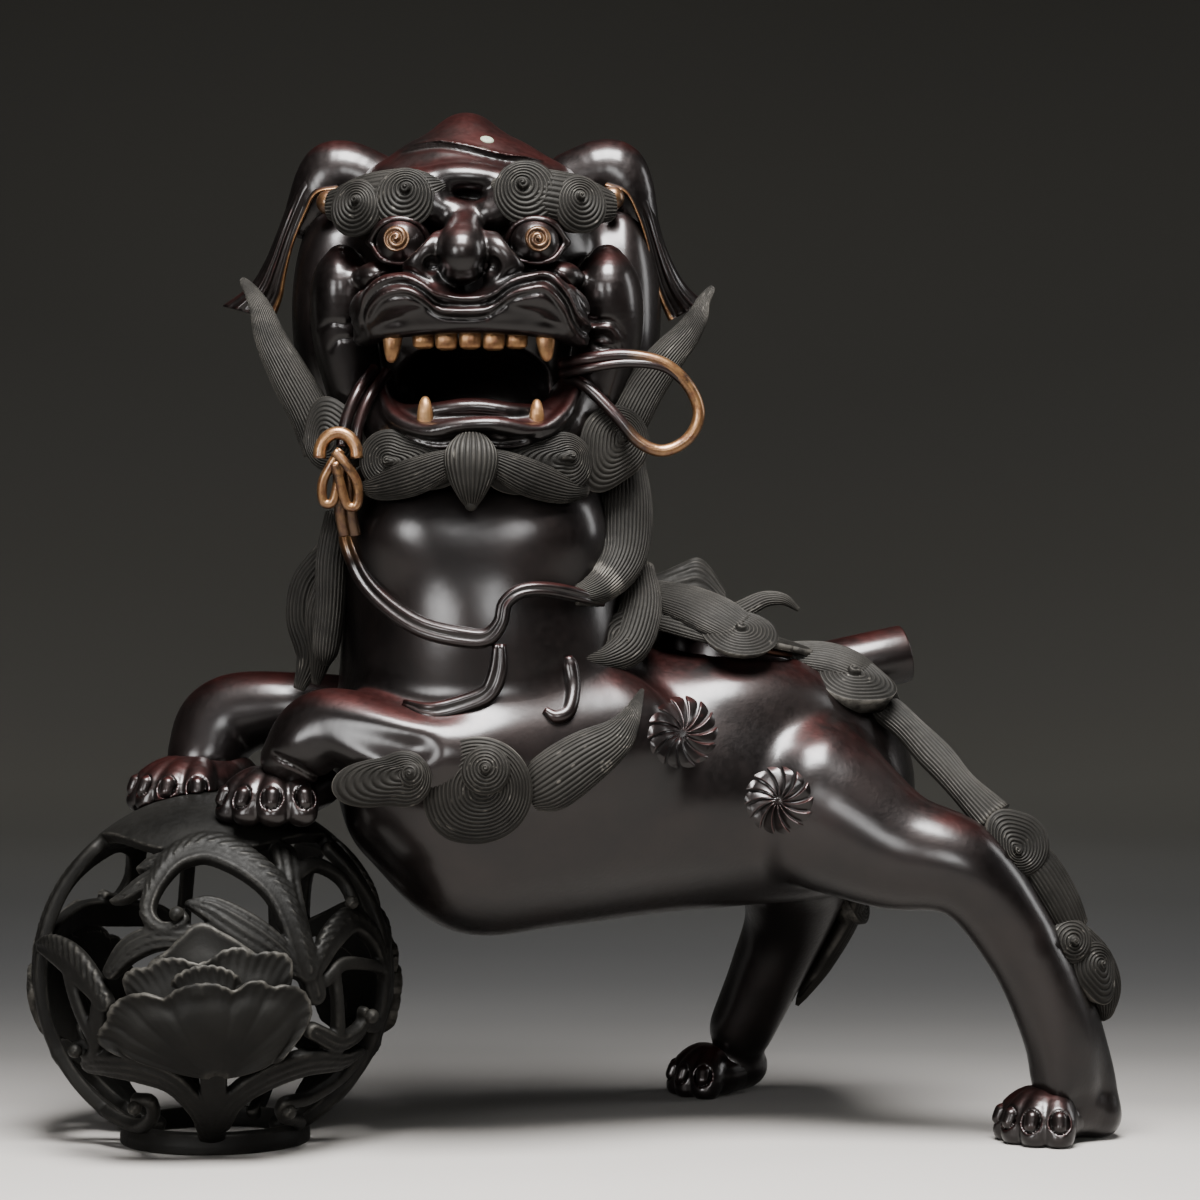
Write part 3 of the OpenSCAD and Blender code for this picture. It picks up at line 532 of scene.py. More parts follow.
HEAD = np.array([-35.0, -6.0, 285.0])
BALL = np.array([-121.5, 0.0, 56.07])
BALL_R = 60.0
NEAR_PAW = BALL + BALL_R * np.array([0.345, -0.34, 0.875])
FAR_PAW = BALL + BALL_R * np.array([-0.17, 0.42, 0.891])
HEARTH = np.array([50.0, 27.0, 160.5])
LEAN = math.radians(12)
HEARTH_AXIS = np.array([math.sin(LEAN), 0.0, math.cos(LEAN)])
UPRIGHT = (0, 0, 1)


def at_hearth(points):
    """Points of the opening's own frame, which leans to the rump."""
    p = np.asarray(points, float)
    c, s = math.cos(LEAN), math.sin(LEAN)
    return p @ np.array([[c, 0, -s], [0, 1, 0], [s, 0, c]]) + HEARTH


def front(x, z, onto):
    """How near these objects come to the viewer at [x, z], and the normal there."""
    best = None
    for thing in onto:
        hit, spot, normal, _ = thing.ray_cast(((x - FOOTPRINT[0]) / MM, -1.0, z / MM), (0, 1, 0))
        if hit and (best is None or spot.y < best[0]):
            best = (spot.y, normal)
    if best is None:
        return None
    return best[0] * MM + FOOTPRINT[1], np.array(best[1])


def laid(line, onto, lift, steps=5):
    """A line in [x, z, ...] laid on what is seen from the front."""
    rows, y = [], None
    for row in spline(line, steps):
        seen = front(row[0], row[1], onto)
        y = seen[0] if seen else y
        rows.append([row[0], y - lift, row[1], *row[2:]])
    rows = np.array(rows)
    soft = rows[:, 1].copy()
    for _ in range(3):
        soft[1:-1] = (soft[:-2] + 2 * soft[1:-1] + soft[2:]) / 4
    rows[:, 1] = np.minimum(soft, rows[:, 1])
    return rows


# The hollow body and the legs, melted where they meet and parted where one is nearer than the other.
BARREL = [
    [-64, 3, 118, 16, 32, 26], [-40, 7, 113, 20, 46, 44], [-8, 13, 115.5, 24, 50, 45],
    [25, 22, 118, 24, 51, 44], [56, 30, 118, 24, 50, 42], [82, 37, 117, 22, 48, 39],
    [98, 42, 115, 17, 40, 30],
]
SADDLE = [[48, 24, 146, 38, 36, 18]]
NECK = [
    [-32, 2, 140, 49, 46, 30], [-31, -2, 168, 48, 45.5, 20], [-32, -1.5, 190, 47, 44, 18],
    [-33, 2, 216, 46, 40, 17],
]
WITHERS = [[-13, 25, 168, 29, 27, 24]]
CHEST = [[[x, -28, 203, 22, 17, 17]] for x in (-49, -16)]
BODY = [(BARREL, 0), (SADDLE, 12), (NECK, 16), (WITHERS, 14), (CHEST[0], 14), (CHEST[1], 14)]
BODY_BOX = (-86, -52, 62), (120, 98, 238)
LEGS = {
    "near_foreleg": [
        [8, -26, 134, 24, 16, 22], [-22, -37, 131, 18, 14, 17], [-50, -45, 131, 14, 13, 13],
        [*(NEAR_PAW + (20, -15, 31)), 13, 12, 12], [*(NEAR_PAW + (9, -9, 20)), 12, 11.5, 9],
    ],
    "far_foreleg": [
        [-20, 42, 130, 20, 14, 20], [-60, 40, 137, 16, 13, 15], [-95, 29, 143, 12, 12, 12],
        [*(FAR_PAW + (10, 5, 30)), 14, 13, 14], [*(FAR_PAW + (4, 1, 17)), 13.5, 12.5, 9],
    ],
    "near_hind_leg": [
        [79, -2, 112, 25, 24, 28], [103, -9, 98, 19, 18, 20], [127, -14, 91, 14.5, 14.5, 15.5],
        [147, -8, 65, 12.5, 13, 14], [159, -3, 37, 12, 12.5, 13], [162, 0, 20, 11.5, 12, 10],
    ],
    "far_hind_leg": [
        [76, 62, 102, 26, 22, 30], [75, 81, 70, 16, 15, 18], [67, 92, 46, 13, 13, 14],
        [58, 100, 24, 11.5, 12, 12],
    ],
}
LEG_MELT = {"near_foreleg": 9.0, "far_foreleg": 9.0, "near_hind_leg": 5.0, "far_hind_leg": 12.0}
LEG_BOX = {
    "near_foreleg": ((-108, -78, 96), (40, 4, 172)), "far_foreleg": ((-150, 12, 104), (8, 72, 164)),
    "near_hind_leg": ((36, -40, -3), (190, 36, 156)), "far_hind_leg": ((22, 30, -3), (112, 128, 142)),
}
FEET = {
    "near_hind_leg": ((158, 0, 0), (178, 208, 238, 268)),
    "far_hind_leg": ((51, 103, 0), (160, 188, 216, 246)),
}
LAP = 3.0
BODY_STEP, LEG_STEP, PAW_STEP, HEAD_STEP = 0.8, 0.7, 0.5, 0.55
OPENING_R = 25.9


def joined(whole, own, other):
    """What is melted together, as far as own is nearer than the other, with a lap."""
    apart = np.clip(0.5 * (own - other), -LAP, LAP + 1)
    return np.maximum(whole + 0.03 * apart, 3 * (apart - LAP))


def toes_into(clay, turns, reach):
    """Round toes with knuckles, and their claws in hollows."""
    for a in map(math.radians, turns):
        out = np.array([math.cos(a), math.sin(a), 0.0])

        def spot(d, z):
            return out * reach * d + (0, 0, z)
        clay.limb([[*spot(0.1, 11), 6, 6, 6], [*spot(0.55, 12), 6.2, 6.2, 6.2],
                   [*spot(0.95, 7.5), 6.2, 6.2, 6.4], [*spot(1.08, 3.5), 5.2, 5.2, 4.4]], 0.9)
        face = unit(out + (0, 0, 0.5))
        nail = spot(0.98, 6.4) + 5.6 * face
        clay.eggs([[*nail, 3.6, 3.6, 4.2]], 0.4, carve=True)
        top, end = nail - 1.6 * face + (0, 0, 1.6), nail - 0.4 * face - (0, 0, 1.4)
        clay.limb([[*top, 2.5, 2.5, 2.4], [*end, 2.3, 2.3, 2.4]], 0.3)


def heel_into(leg):
    """The drawn-out heel and the shin of the near hind leg."""
    leg.limb([[168, 3, 42, 5, 8, 6], [172, 5, 30, 4.5, 8, 8], [175, 6, 18, 4.5, 8, 9],
              [175.5, 6, 8, 5.5, 8, 7]], 5, steps=8)
    leg.limb([[164, 2, 12, 9, 9, 9], [172, 5, 8, 7, 9, 7]], 5)
    leg.limb([[150, -15, 62, 4, 4, 7], [157, -12, 38, 4, 4, 8], [159, -10, 22, 4, 4, 6]], 5, steps=8)


def wrist_into(leg):
    """The hollow forearm, the wrist and the fold above the near forepaw."""
    leg.limb([[-86, -58, 141, 4, 7, 3.5], [-71, -60, 137, 8, 7, 5], [-55, -60, 133, 8, 5, 4]],
             6, carve=True, steps=8)
    leg.eggs([[-88, -36.5, 133.5, 8, 8, 6]], 7)
    leg.draw([(-99, 131), (-90, 126.5), (-80, 119.5)], 0.9, 1.4, 0)


def foot_of(leg, at, turns):
    leg.limb(shift([[6, 3, 10, 11, 12, 9], [-1, -1, 8, 12, 12, 8]], at), 4)
    leg.stand()
    foot = Clay((-26, -26, -2), (16, 20, 26), PAW_STEP, at)
    foot.limb([[2, 1, 9, 12, 12, 8.5], [-3, -3, 8, 13, 12, 8.2]])
    toes_into(foot, turns, 14)
    foot.stand()
    return foot.skin()


def rosette(at, r, onto, petals=14):
    """A low round of curved petals laid on what is seen from the front about [x, z]."""
    rows, turn = int(44 / COARSE), circle(int(petals * 16 / COARSE))
    radius = np.linspace(0.02, 1, rows)[:, None]
    x, z = at[0] + r * radius * np.cos(turn), at[1] + r * radius * np.sin(turn)
    y = np.array([[front(x[i, j], z[i, j], onto)[0] for j in range(len(turn))] for i in range(rows)])
    rise = np.mod(petals * turn[None, :] / (2 * np.pi) - 1.5 * radius ** 0.8, 1)
    comma = rise ** 0.7 * np.clip((1 - rise) / 0.16, 0, 1)
    hem = np.clip((1 - radius) / 0.22, 0, 1) * np.clip((radius - 0.06) / 0.16, 0, 1)
    lift = 1.75 * comma * hem - 0.3 + 0.7 * bell(radius, 0, 0.1) - 0.5 * np.clip((radius - 0.85) / 0.15, 0, 1)
    skin = np.stack([x, y - lift, z], 2)
    under = np.stack([x[-1], y[-1] + 2, z[-1]], 1)
    return tube(np.concatenate([skin, under[None]]), skin[0].mean(0), under.mean(0))


things = {}
trunk = modelled(*BODY_BOX, BODY_STEP, BODY)
whole, legs = trunk.d, np.full_like(trunk.d, FAR)
for name, path in LEGS.items():
    leg = modelled(*BODY_BOX, BODY_STEP, [(path, 0)], 2)
    whole = melt(whole, leg.d, LEG_MELT[name])
    legs = np.minimum(legs, leg.d)
trunk.d = joined(whole, trunk.d, legs)
bore = at_hearth([[0, 0, -40], [0, 0, 40]])
trunk.limb(np.hstack([bore, np.full((2, 3), OPENING_R)]), 0, carve=True, steps=1)
things["torso_shell"] = piece("torso_shell", [trunk.skin(4)])

for name, path in LEGS.items():
    trunk, leg = modelled(*LEG_BOX[name], LEG_STEP, BODY), modelled(*LEG_BOX[name], LEG_STEP, [(path, 0)], 2)
    leg.d = joined(melt(trunk.d, leg.d, LEG_MELT[name]), leg.d, trunk.d)
    if name == "near_hind_leg":
        heel_into(leg)
    foot = [foot_of(leg, *FEET[name])] if name in FEET else []
    if name == "near_foreleg":
        wrist_into(leg)
    things[name] = piece(name, [leg.skin(4), *foot])

for name, at, turns, reach, wide in (
    ("near_forepaw", NEAR_PAW + (3.5, -0.5, -0.8), (204, 236, 266, 297), 16, 14),
    ("far_forepaw", FAR_PAW + (3, -6, -0.5), (166, 193, 220, 247, 274), 18.5, 17),
):
    paw = Clay((-34, -34, -24), (30, 34, 26), PAW_STEP, at)
    paw.limb([[8, 6, 11, 11, 11, 8], [-1, -2, 8, wide, wide - 1, 9]])
    toes_into(paw, turns, reach)
    paw.limb([[*(BALL - at), *[BALL_R + 0.2] * 3]], 0, carve=True)
    piece(name, [paw.skin()])

for name, at, r, onto in (
    ("torso_rosette", (33.6, 136.9), 12.8, ("torso_shell", "near_foreleg")),
    ("thigh_rosette", (65.0, 114.5), 12.2, ("near_hind_leg", "torso_shell")),
):
    piece(name, [rosette(at, r, [things[t] for t in onto])], replaces=False)


# The head. Its clay and its features are placed from HEAD.
def head(rows):
    return shift(rows, HEAD)


MOUTH = [[0, -64, -33, 24, 12, 10.5], [0, -30, -34, 28, 16, 12.5], [0, -6, -40, 20, 14, 11]]
EYES = ((-22, (-0.14, -1, 0.05)), (20.8, (0.16, -1, 0.05)))
EYE_Z = 9.3
skull = Clay((-70, -72, -76), (74, 56, 62), HEAD_STEP, HEAD)
for egg, k in (
    ([0, 8, 4, 45, 42, 38], 0), ([2, 12, -35, 44, 34, 27], 10), ([-1.5, -4, 30, 37, 27, 15], 10),
    ([1, 11, -16, 44, 38, 24], 12), ([0, 14, -50, 38, 26, 20], 12), ([-2.5, 4, 37, 23, 30, 14], 8),
    ([-2.7, 6, 40, 14.5, 26, 17], 4), ([-47, 7, -9, 14, 20, 37], 8), ([48, 7, -9, 14, 20, 37], 8),
):
    skull.limb([egg], k)
# Brow, cheeks and nose
skull.limb([[-15, -29, 29.5, 7, 9, 5], [-3, -31, 30.5, 8, 9, 5.6], [9, -29, 29.5, 7, 9, 5]], 3.5, steps=8)
brow = [[-35, -24, 24, 8, 9, 7], [-21, -33, 25, 10, 9, 8], [-7, -35, 19, 7, 7, 6]]
skull.limb(brow, 4)
skull.limb(flip(brow), 4)
for cheek in (
    [[-42.5, -17, 6.5, 5, 9, 4.5], [-42.5, -17, -3, 10, 16, 10], [-42, -15, -17, 10.5, 15, 13],
     [-39, -11, -33, 9.5, 15, 14]],
    [[44, -17, 6, 5.5, 9, 5], [44, -17, -4, 11, 16, 11], [44.5, -15, -17, 11, 15, 13],
     [41, -11, -33, 10, 15, 14]],
):
    skull.limb(cheek, 1.2, steps=8)
skull.eggs([[-30, -31, -1, 7, 8, 5], [29, -31, -1, 7, 8, 5]], 4)
skull.limb([[-1.6, -31, 19, 5.6, 7, 5], [-1.8, -41.5, 12.5, 6.2, 8, 5.6], [-2, -51.5, 5.5, 7.8, 9.6, 7.4],
            [-2, -50, 0, 7, 8, 5.4]], 2.5, steps=8)
for x in ((-7.5, -13, -15.8, -13), (4, 9.5, 12.4, 9.6)):
    skull.limb([[x[0], -46, 8.5, 4, 5, 4], [x[1], -48, 6, 5.6, 7, 5.2], [x[2], -47.5, 1.5, 5.8, 7.4, 5.4],
                [x[3], -47, -3, 5, 6, 4]], 1.2, steps=8)
skull.eggs([[-11.2, -55, 0.2, 2.8, 5, 3], [7.6, -55, 0.2, 2.8, 5, 3]], 1, carve=True)
# Upper lip, eyes and mouth
lip = [[-7, -46, -11, 8, 8, 5], [-14, -47.5, -8.8, 8, 10, 6.2], [-23, -46, -8.4, 9.4, 11, 7.6],
       [-31, -38, -13, 7.6, 11, 8]]
skull.limb(lip, 2.5, steps=8)
skull.limb(flip(lip), 2.5, steps=8)
skull.limb([[-15, -46, -14.5, 8, 7, 5], [1, -49.5, -13.5, 10, 7, 4.6], [17, -46, -14.5, 8, 7, 5]], 2)
skull.limb([
    [-34, -33, -20, 4, 6, 3.6], [-25, -43, -18.5, 4, 5, 3.4], [-10, -48, -17.8, 4, 5, 3.2],
    [1, -49, -17.5, 4, 5, 3.2], [12, -48, -17.8, 4, 5, 3.2], [26, -43, -18.5, 4, 5, 3.4],
    [35, -33, -20.5, 4, 6, 3.6],
], 2)
skull.eggs([[x, -46, EYE_Z, 10.5, 11, 7.6] for x, _ in EYES], 3, carve=True)
for (x, _), out in zip(EYES, (-1, 1)):
    for up, r in ((1, 1.4), (-1, 1.0)):
        lid = [[-9.6 * out, 2.5, -1.2], [-6 * out, -1.2, 5.2 * up], [0, -2.3, 7 * up],
               [6 * out, -1.2, 5.4 * up], [10 * out, 3.5, 0.4]]
        skull.limb(shift([[*row, r, r + 1, r] for row in lid], (x, -39, EYE_Z)), 1.4, steps=6)
skull.limb(MOUTH, 1.5, carve=True)

MOUSTACHE = [
    (-34, -19), (-34, -10.5), (-28.5, -4.6), (-21, -3), (-15, -5.2), (-10, -8.8), (-3.5, -9.8), (4.5, -9.6),
    (9, -8), (14, -4.6), (20, -2.8), (26, -2.4), (32, -8.3), (35, -14.4), (39, -17.2), (45, -17.6),
    (49, -22.3),
]


def beside(line, wider, higher):
    return [(x * wider, z + higher) for x, z in line]


for line, width, depth in (
    (MOUSTACHE, 1.1, -1.5), (beside(MOUSTACHE, 0.97, -2.6), 0.8, 1.4),
    (beside(MOUSTACHE[:-2], 0.95, -4.6), 0.9, -0.7),
    (beside(MOUSTACHE[1:-3], 0.94, -6.4), 0.7, 0.9),
    (beside(MOUSTACHE[:6], 1.01, 2.2), 0.9, 1.0),
    (beside(MOUSTACHE[8:], 1.01, 2.2), 0.9, 1.0),
    ([(-36, -14), (-40, -16), (-45, -15.6), (-50, -18)], 0.8, 0.6),
    ([(-35.5, -19), (-39, -20.5), (-43, -21), (-46, -25)], 0.8, 0.6),
    ([(37, -21), (42, -23.5), (46, -24), (50, -29)], 0.8, 0.9),
    ([(-20, 43.6), (-12, 44.2), (-3, 42.5), (8.8, 39.6), (18, 38.9), (23, 38)], 0.55, -1.1),
    ([(-24, 40.5), (-12, 41.6), (-3, 40.2), (8.8, 37.4), (20, 36.4)], 0.8, 1.1),
    ([(-9, 23.6), (-2, 24.6), (5, 23.6)], 1.6, 0.9),
):
    skull.draw(line, width, depth, -12.0)
things["head_shell"] = piece("head_shell", [skull.skin()])

jaw = Clay((-52, -62, -74), (54, 12, -26), HEAD_STEP, HEAD)
jaw.limb([
    [-33, -12, -40, 9, 12, 12], [-22, -30, -50, 10, 10, 9], [1, -39, -54, 14, 9, 8],
    [24, -30, -50, 10, 10, 9], [36, -12, -40, 9, 12, 12],
])
jaw.limb([[-10, -14, -55, 24, 24, 7], [12, -14, -55, 24, 24, 7]], 4)
jaw.limb(MOUTH, 1.5, carve=True)
jaw.limb([
    [-29, -26, -38, 2.6, 4, 3], [-24, -38, -47, 3, 4, 3], [-14, -45, -51.5, 3, 4, 2.8],
    [-3, -48, -50, 3, 4, 2.8], [9, -48, -49.5, 3, 4, 2.8], [22, -43, -51.5, 3, 4, 2.8],
    [30, -36, -46, 3, 4, 3], [34, -26, -38, 2.6, 4, 3],
], 1.5)
jaw.limb([
    [-22, -31, -45.5, 4, 5, 3.5], [-12, -39, -45, 4, 4, 3], [1, -41, -43.5, 5, 4, 3], [14, -39, -45, 4, 4, 3],
    [24, -31, -45.5, 4, 5, 3.5],
], 1)
for low in (0, -3.4):
    jaw.draw(beside([(-24, -51), (-10, -55), (1, -53.4), (12, -55), (27, -51)], 1, low), 0.8, 0.9, -20)
piece("lower_jaw", [jaw.skin()])

tongue = Clay((-18, -42, -56), (20, 6, -36), 0.6, HEAD)
tongue.limb([[1, -8, -45, 14, 10, 5], [1, -20, -45, 14, 10, 5], [1, -31, -44.5, 11, 7, 4]])
tongue.draw([(1, -52), (1, -38)], 1.4, 1.2, 0, 1)
piece("tongue", [tongue.skin()], "copper")

eyes = []
for x, face in EYES:
    at = HEAD + (x, -38.6, EYE_Z)
    eyes.append(knob_at(at, 7.9, 28, 40))
    spiral = whorl(at + 7.2 * unit(face), face, 4.2, 0.6, 2.1, start=0.6, knob=0.2, deep=2.4, ridge=1.0)
    eyes.append((*spiral, 0.42))
piece("eyes", eyes)


def tooth(rows, steps):
    return *lock(head(rows), (0, -1, 0), 3, 0.1, steps, 0.9), 1.0


def fang(x, y, z, w, l, lean=0.0, up=1):
    return tooth([
        [x, y, z + 3 * up, w, w * 0.9], [x, y, z, w, w * 0.9],
        [x + lean * 0.4, y - 0.7, z - l * 0.5 * up, w * 0.86, w * 0.8],
        [x + lean, y - 0.3, z - l * 0.88 * up, w * 0.55, w * 0.5], [x + lean, y, z - l * up, 0.7, 0.6]], 5)


def incisor(x, l, z=-18.2, w=3.5):
    y = -43 + x * x / 60
    return tooth([[x, y, z + 4, w, 2.6], [x, y, z, w, 2.8], [x, y - 0.4, z - l * 0.6, w * 1.03, 2.7],
                  [x, y, z - l + 0.7, w * 0.92, 2.2], [x, y, z - l, w * 0.55, 1.2]], 4)


INCISORS = ((-14.6, 6.6), (-7.2, 7.2), (0.4, 7.0), (7.8, 7.3), (15.0, 6.6))
piece("incisor_row", [incisor(x, l) for x, l in INCISORS], "gilt")
piece("upper_fangs", [fang(-24.3, -41, -17.5, 3.4, 11.8, -0.5), fang(24.2, -41, -17.5, 3.4, 11.4, 0.5)],
      "gilt")
piece("lower_fangs", [fang(-14, -42, -48.5, 2.8, 8.2, up=-1), fang(21.5, -40, -48.5, 2.6, 7.4, up=-1)],
      "gilt")
plug_x, plug_z = HEAD[0] + 5, HEAD[2] + 44.6
plug_y, plug_face = front(plug_x, plug_z, [things["head_shell"]])
plug = [[0.01, -5], [2.3, -5], [2.3, 0.1], [1.6, 0.5], [0.01, 0.6]]
piece("crown_plug", [lathe(plug, (plug_x, plug_y, plug_z), plug_face, 40)], "verdigris")

# Ears: a round shoulder, a knob and a drooping leaf with a gilt inner rim.
for name, root, knob, outer, inner in (
    ("left_ear",
     [[-34, 7, 33, 12, 12, 11], [-44, 5, 36.5, 12, 11, 11.5], [-51, 4, 32, 9, 9, 13], [-57, 5, 24, 6, 6, 9]],
     (-47.5, -10, 25.5),
     [[-50, 3, 42], [-57.5, 4, 38], [-62, 5, 28], [-66, 7, 18], [-70.5, 9, 8], [-76, 11, 0], [-85, 12, -6.5]],
     [[-44, -6, 30], [-51.5, -6, 28.5], [-55.5, -4, 22], [-59.5, -2, 13], [-62.3, 1, 3.5], [-64, 4, -4.5],
      [-67, 8, -11.5]]),
    ("right_ear",
     [[34, 7, 34, 12, 12, 11], [44, 5, 37, 12, 11, 11.5], [51, 4, 31, 8.5, 9, 13], [55, 5, 23, 6, 6, 9]],
     (45.7, -10, 27),
     [[49, 3, 43], [56, 4, 37], [60, 5, 26], [63, 7, 15], [67, 9, 6], [71, 11, 0], [77, 12, -5.5]],
     [[43, -6, 31], [49.5, -6, 29], [53.3, -4, 23], [56.6, -2, 14], [58.8, 1, 4], [61, 4, -4],
      [64.5, 8, -12]]),
):
    middles = np.array(root)[:, :3]
    ear = Clay(middles.min(0) - 20, middles.max(0) + 20, 0.6, HEAD)
    ear.limb(root)
    shade = leaf(head(outer), head(inner), 5, 1.6, 1.8, 5)
    piece(name, [ear.skin(3), shade, (*knob_at(HEAD + knob, 4, 20, 30), 0.45)])

BROW_HAIR = [
    [-45, -25, 22.5, 5, 4], [-35.5, -31.5, 23, 8.4, 5], [-25.5, -36.5, 24.4, 8.6, 5],
    [-16, -38, 25.6, 7.4, 5], [-7.6, -36, 28, 2, 3],
]
for name, ridge, hand, curls in (
    ("left_brow_curls", BROW_HAIR, -1, [
        ((-36.5, -36, 20.6), (-0.45, -0.88, 0.1), 9.4, 0.4, (2.0, 2.2)),
        ((-20.8, -40.5, 23.2), (-0.12, -0.97, 0.12), 10.0, 2.0, (1.2, 3.0))]),
    ("right_brow_curls", flip(BROW_HAIR), 1, [
        ((35.3, -36, 21.8), (0.45, -0.88, 0.1), 9.4, 2.6, (-1.6, 2.4)),
        ((18.2, -40.5, 25), (0.12, -0.97, 0.12), 10.6, 1.0, (-1.9, 2.5))]),
):
    hair(name, lock(head(ridge), (0, -1, 0.2), 14, 0.4), *[
        whorl(HEAD + at, face, r, 2.8, 8, hand, start, deep=6, eye=eye) for at, face, r, start, eye in curls])

hair("left_cheek_lock",
     lock(head([
         [-48.5, -16, -56, 7, 5], [-52.7, -16, -44.5, 7.2, 5.5], [-59.5, -15, -32, 6.6, 5.5],
         [-65.6, -13, -20.5, 5.4, 5], [-69.2, -11, -10.5, 3.9, 4], [-72.4, -9, -4.4, 2.6, 2.8],
         [-75.2, -8, -0.6, 1.6, 1.8], [-76.4, -8, 0.6, 0.8, 0.8]]), (-0.3, -0.95, 0.1), 20),
     whorl(HEAD + (-44.5, -26, -53), (-0.35, -0.93, 0.05), 10.8, 2.8, 10, -1, deep=9,
           tip=(110, 0.35), ridge=0.45, eye=(-1.92, -1.863)))
hair("right_cheek_lock",
     lock(head([
         [46, -15, -54, 7, 5], [50, -15, -46, 7.6, 5.5], [55.5, -14, -36, 7.2, 5.5], [63, -13, -26, 6, 5],
         [69.4, -11, -18.6, 4.8, 4.4], [73.4, -10, -12.4, 3.6, 3.6], [75.4, -9, -7.2, 2.4, 2.6],
         [78, -8, -3.2, 1.5, 1.6], [79, -8, -2, 0.8, 0.8]]), (0.3, -0.95, 0.1), 20))
hair("left_beard",
     whorl(HEAD + (-25.5, -40.5, -60.5), (-0.22, -0.96, -0.08), 10.0, 2.6, 10, -1, 0.3, tip=(-8, 1.4),
           ridge=0.45, eye=(0.14, 0.197)),
     lock(head([
         [-1, -48, -59, 2.5, 3], [-9, -47.5, -62.5, 5, 3.4], [-18, -44.5, -66, 6, 3.8],
         [-28, -39, -68.5, 4.8, 3.4], [-34, -35, -69, 2, 2.5]]), (-0.15, -0.97, -0.1), 16, 0.45))
hair("right_beard",
     whorl(HEAD + (29.5, -39.5, -61.5), (0.22, -0.96, -0.08), 10.2, 2.6, 10, start=0.3, tip=(188, 1.5),
           ridge=0.45, eye=(3.002, 3.059)),
     lock(head([
         [3, -48, -59, 2.5, 3], [11, -47.5, -62.5, 5, 3.4], [20, -44.5, -66.5, 6, 3.8],
         [30, -38.5, -69.5, 4.8, 3.4], [37, -34, -70, 2, 2.5]]), (0.15, -0.97, -0.1), 16, 0.45),
     whorl(HEAD + (46.5, -27, -54), (0.36, -0.93, 0.0), 12.0, 2.8, 11, start=1.2, knob=0.15, deep=9,
           tip=(240, 0.5), ridge=0.45, eye=(2.094, 2.152)))
hair("chin_tuft",
     lock(head([
         [1, -48, -54, 5, 4], [1, -51.5, -59.5, 8.6, 6], [1, -52, -66, 7.6, 5.5], [1, -51.5, -72, 4.4, 4],
         [1, -50.5, -76, 1.4, 1.6]]), (0, -1, 0), 14),
     knob_at(HEAD + (1, -52, -75), 2))

# The cast cords at the mouth
CORD_R = 2.0
loop = np.array(head([
    [29, -28, -29], [38, -34, -27.5], [50, -35, -26.5], [62, -34, -29], [70, -32, -36], [73.5, -31, -45],
    [70, -31, -53], [62, -32, -57], [54, -33, -54], [46, -33, -45], [37, -30, -36], [30, -24, -33],
]))
verts, faces = cord(loop, CORD_R)
gilt = np.clip((verts[:, 0] - HEAD[0] - 50) / 14, 0, 1) * 0.9
second = loop[:5] + np.array([1, 1, 0.8, 0.4, 0])[:, None] * (0, -0.5, -3.2)
piece("cord_loop", [(verts, faces, gilt), cord(second, 1.5)])

strand = np.array([[-31, -26, -30], [-36, -33, -38], [-39.5, -36, -47], [-41, -37, -56]])
ring = [[-42 + 6 * math.cos(a), -39, -59 + 7.4 * math.sin(a)] for a in np.linspace(-0.1, math.pi + 0.1, 9)]
left_loop = [[-41, -39.5, -57], [-44, -39.5, -61.5], [-47, -38.5, -67.5], [-46.8, -37.5, -73.5],
             [-43.8, -37.5, -73.5], [-42, -38.5, -67], [-40.5, -39.5, -60]]
right_loop = [[-43, -40.5, -57.5], [-39.6, -40.5, -61.5], [-36, -39, -67.5], [-36, -38, -74.5],
              [-39.2, -38, -74.5], [-41.2, -39.5, -68], [-43, -40.5, -61]]
tail = np.array([[-42, -36, -62], [-42, -35, -70], [-41.5, -33, -78], [-40.5, -31, -84]])
piece("cord_knot", [(*cord(head(path), r, steps), gold) for path, r, steps, gold in (
    (strand, CORD_R, 10, 0.0), (strand + (4, 0.5, -1), 1.9, 10, 0.0), (ring, 2.1, 4, 0.95),
    (left_loop, 1.6, 6, 0.8), (right_loop, 1.6, 6, 0.8), (tail, CORD_R, 10, 0.5),
    (tail + (3.4, 0, 0), CORD_R, 10, 0.3),
)])


# Hair and cords that lie on the body.
shoulder = [things["torso_shell"], things["near_foreleg"]]
CHEST_CORD = [
    [-76, 204, 2.9, 3.4], [-75, 198, 3.1, 3.6], [-69.5, 186.5, 3.2, 3.6], [-60.5, 177.5, 3.3, 3.6],
    [-49.5, 171, 3.4, 3.6], [-36, 168, 3.4, 3.6], [-29, 168.3, 3.0, 3.6], [-25, 173, 2.5, 3.4],
    [-23.5, 179, 2.4, 3.4], [-18.5, 182.8, 2.4, 3.4], [-10.5, 183.5, 2.4, 3.4], [0, 181.5, 2.4, 3.2],
    [7, 179.5, 1.6, 2.4],
]
verts, faces = lock(laid(CHEST_CORD, shoulder, 0.4), (-0.1, -1, 0), 2, 1.5, 1)
piece("chest_cord", [(verts, faces, np.clip((verts[:, 2] - 192) / 8, 0, 1) * 0.7)])
STRAPS = (
    ([[-25.5, 166, 2.2, 2.4], [-26, 157.5, 3.2, 3.2], [-29, 150.5, 3.2, 3.2], [-36, 147, 3.2, 3.0],
      [-47, 144.5, 3.0, 2.6], [-56, 147, 1.4, 1.4]], 2, 1.3),
    ([[-3.5, 162, 1.2, 1.6], [-3, 159, 2.6, 3.0], [-2, 151.5, 2.5, 3.2], [-3.5, 144.5, 2.4, 3.0],
      [-7.5, 142.8, 2.2, 2.6], [-11, 145, 1.2, 1.6]], 1, 0.3),
)
piece("chest_straps", [
    lock(laid(line, shoulder, 0.2), (0, -1, 0.1), ribs, groove, 1) for line, ribs, groove in STRAPS])

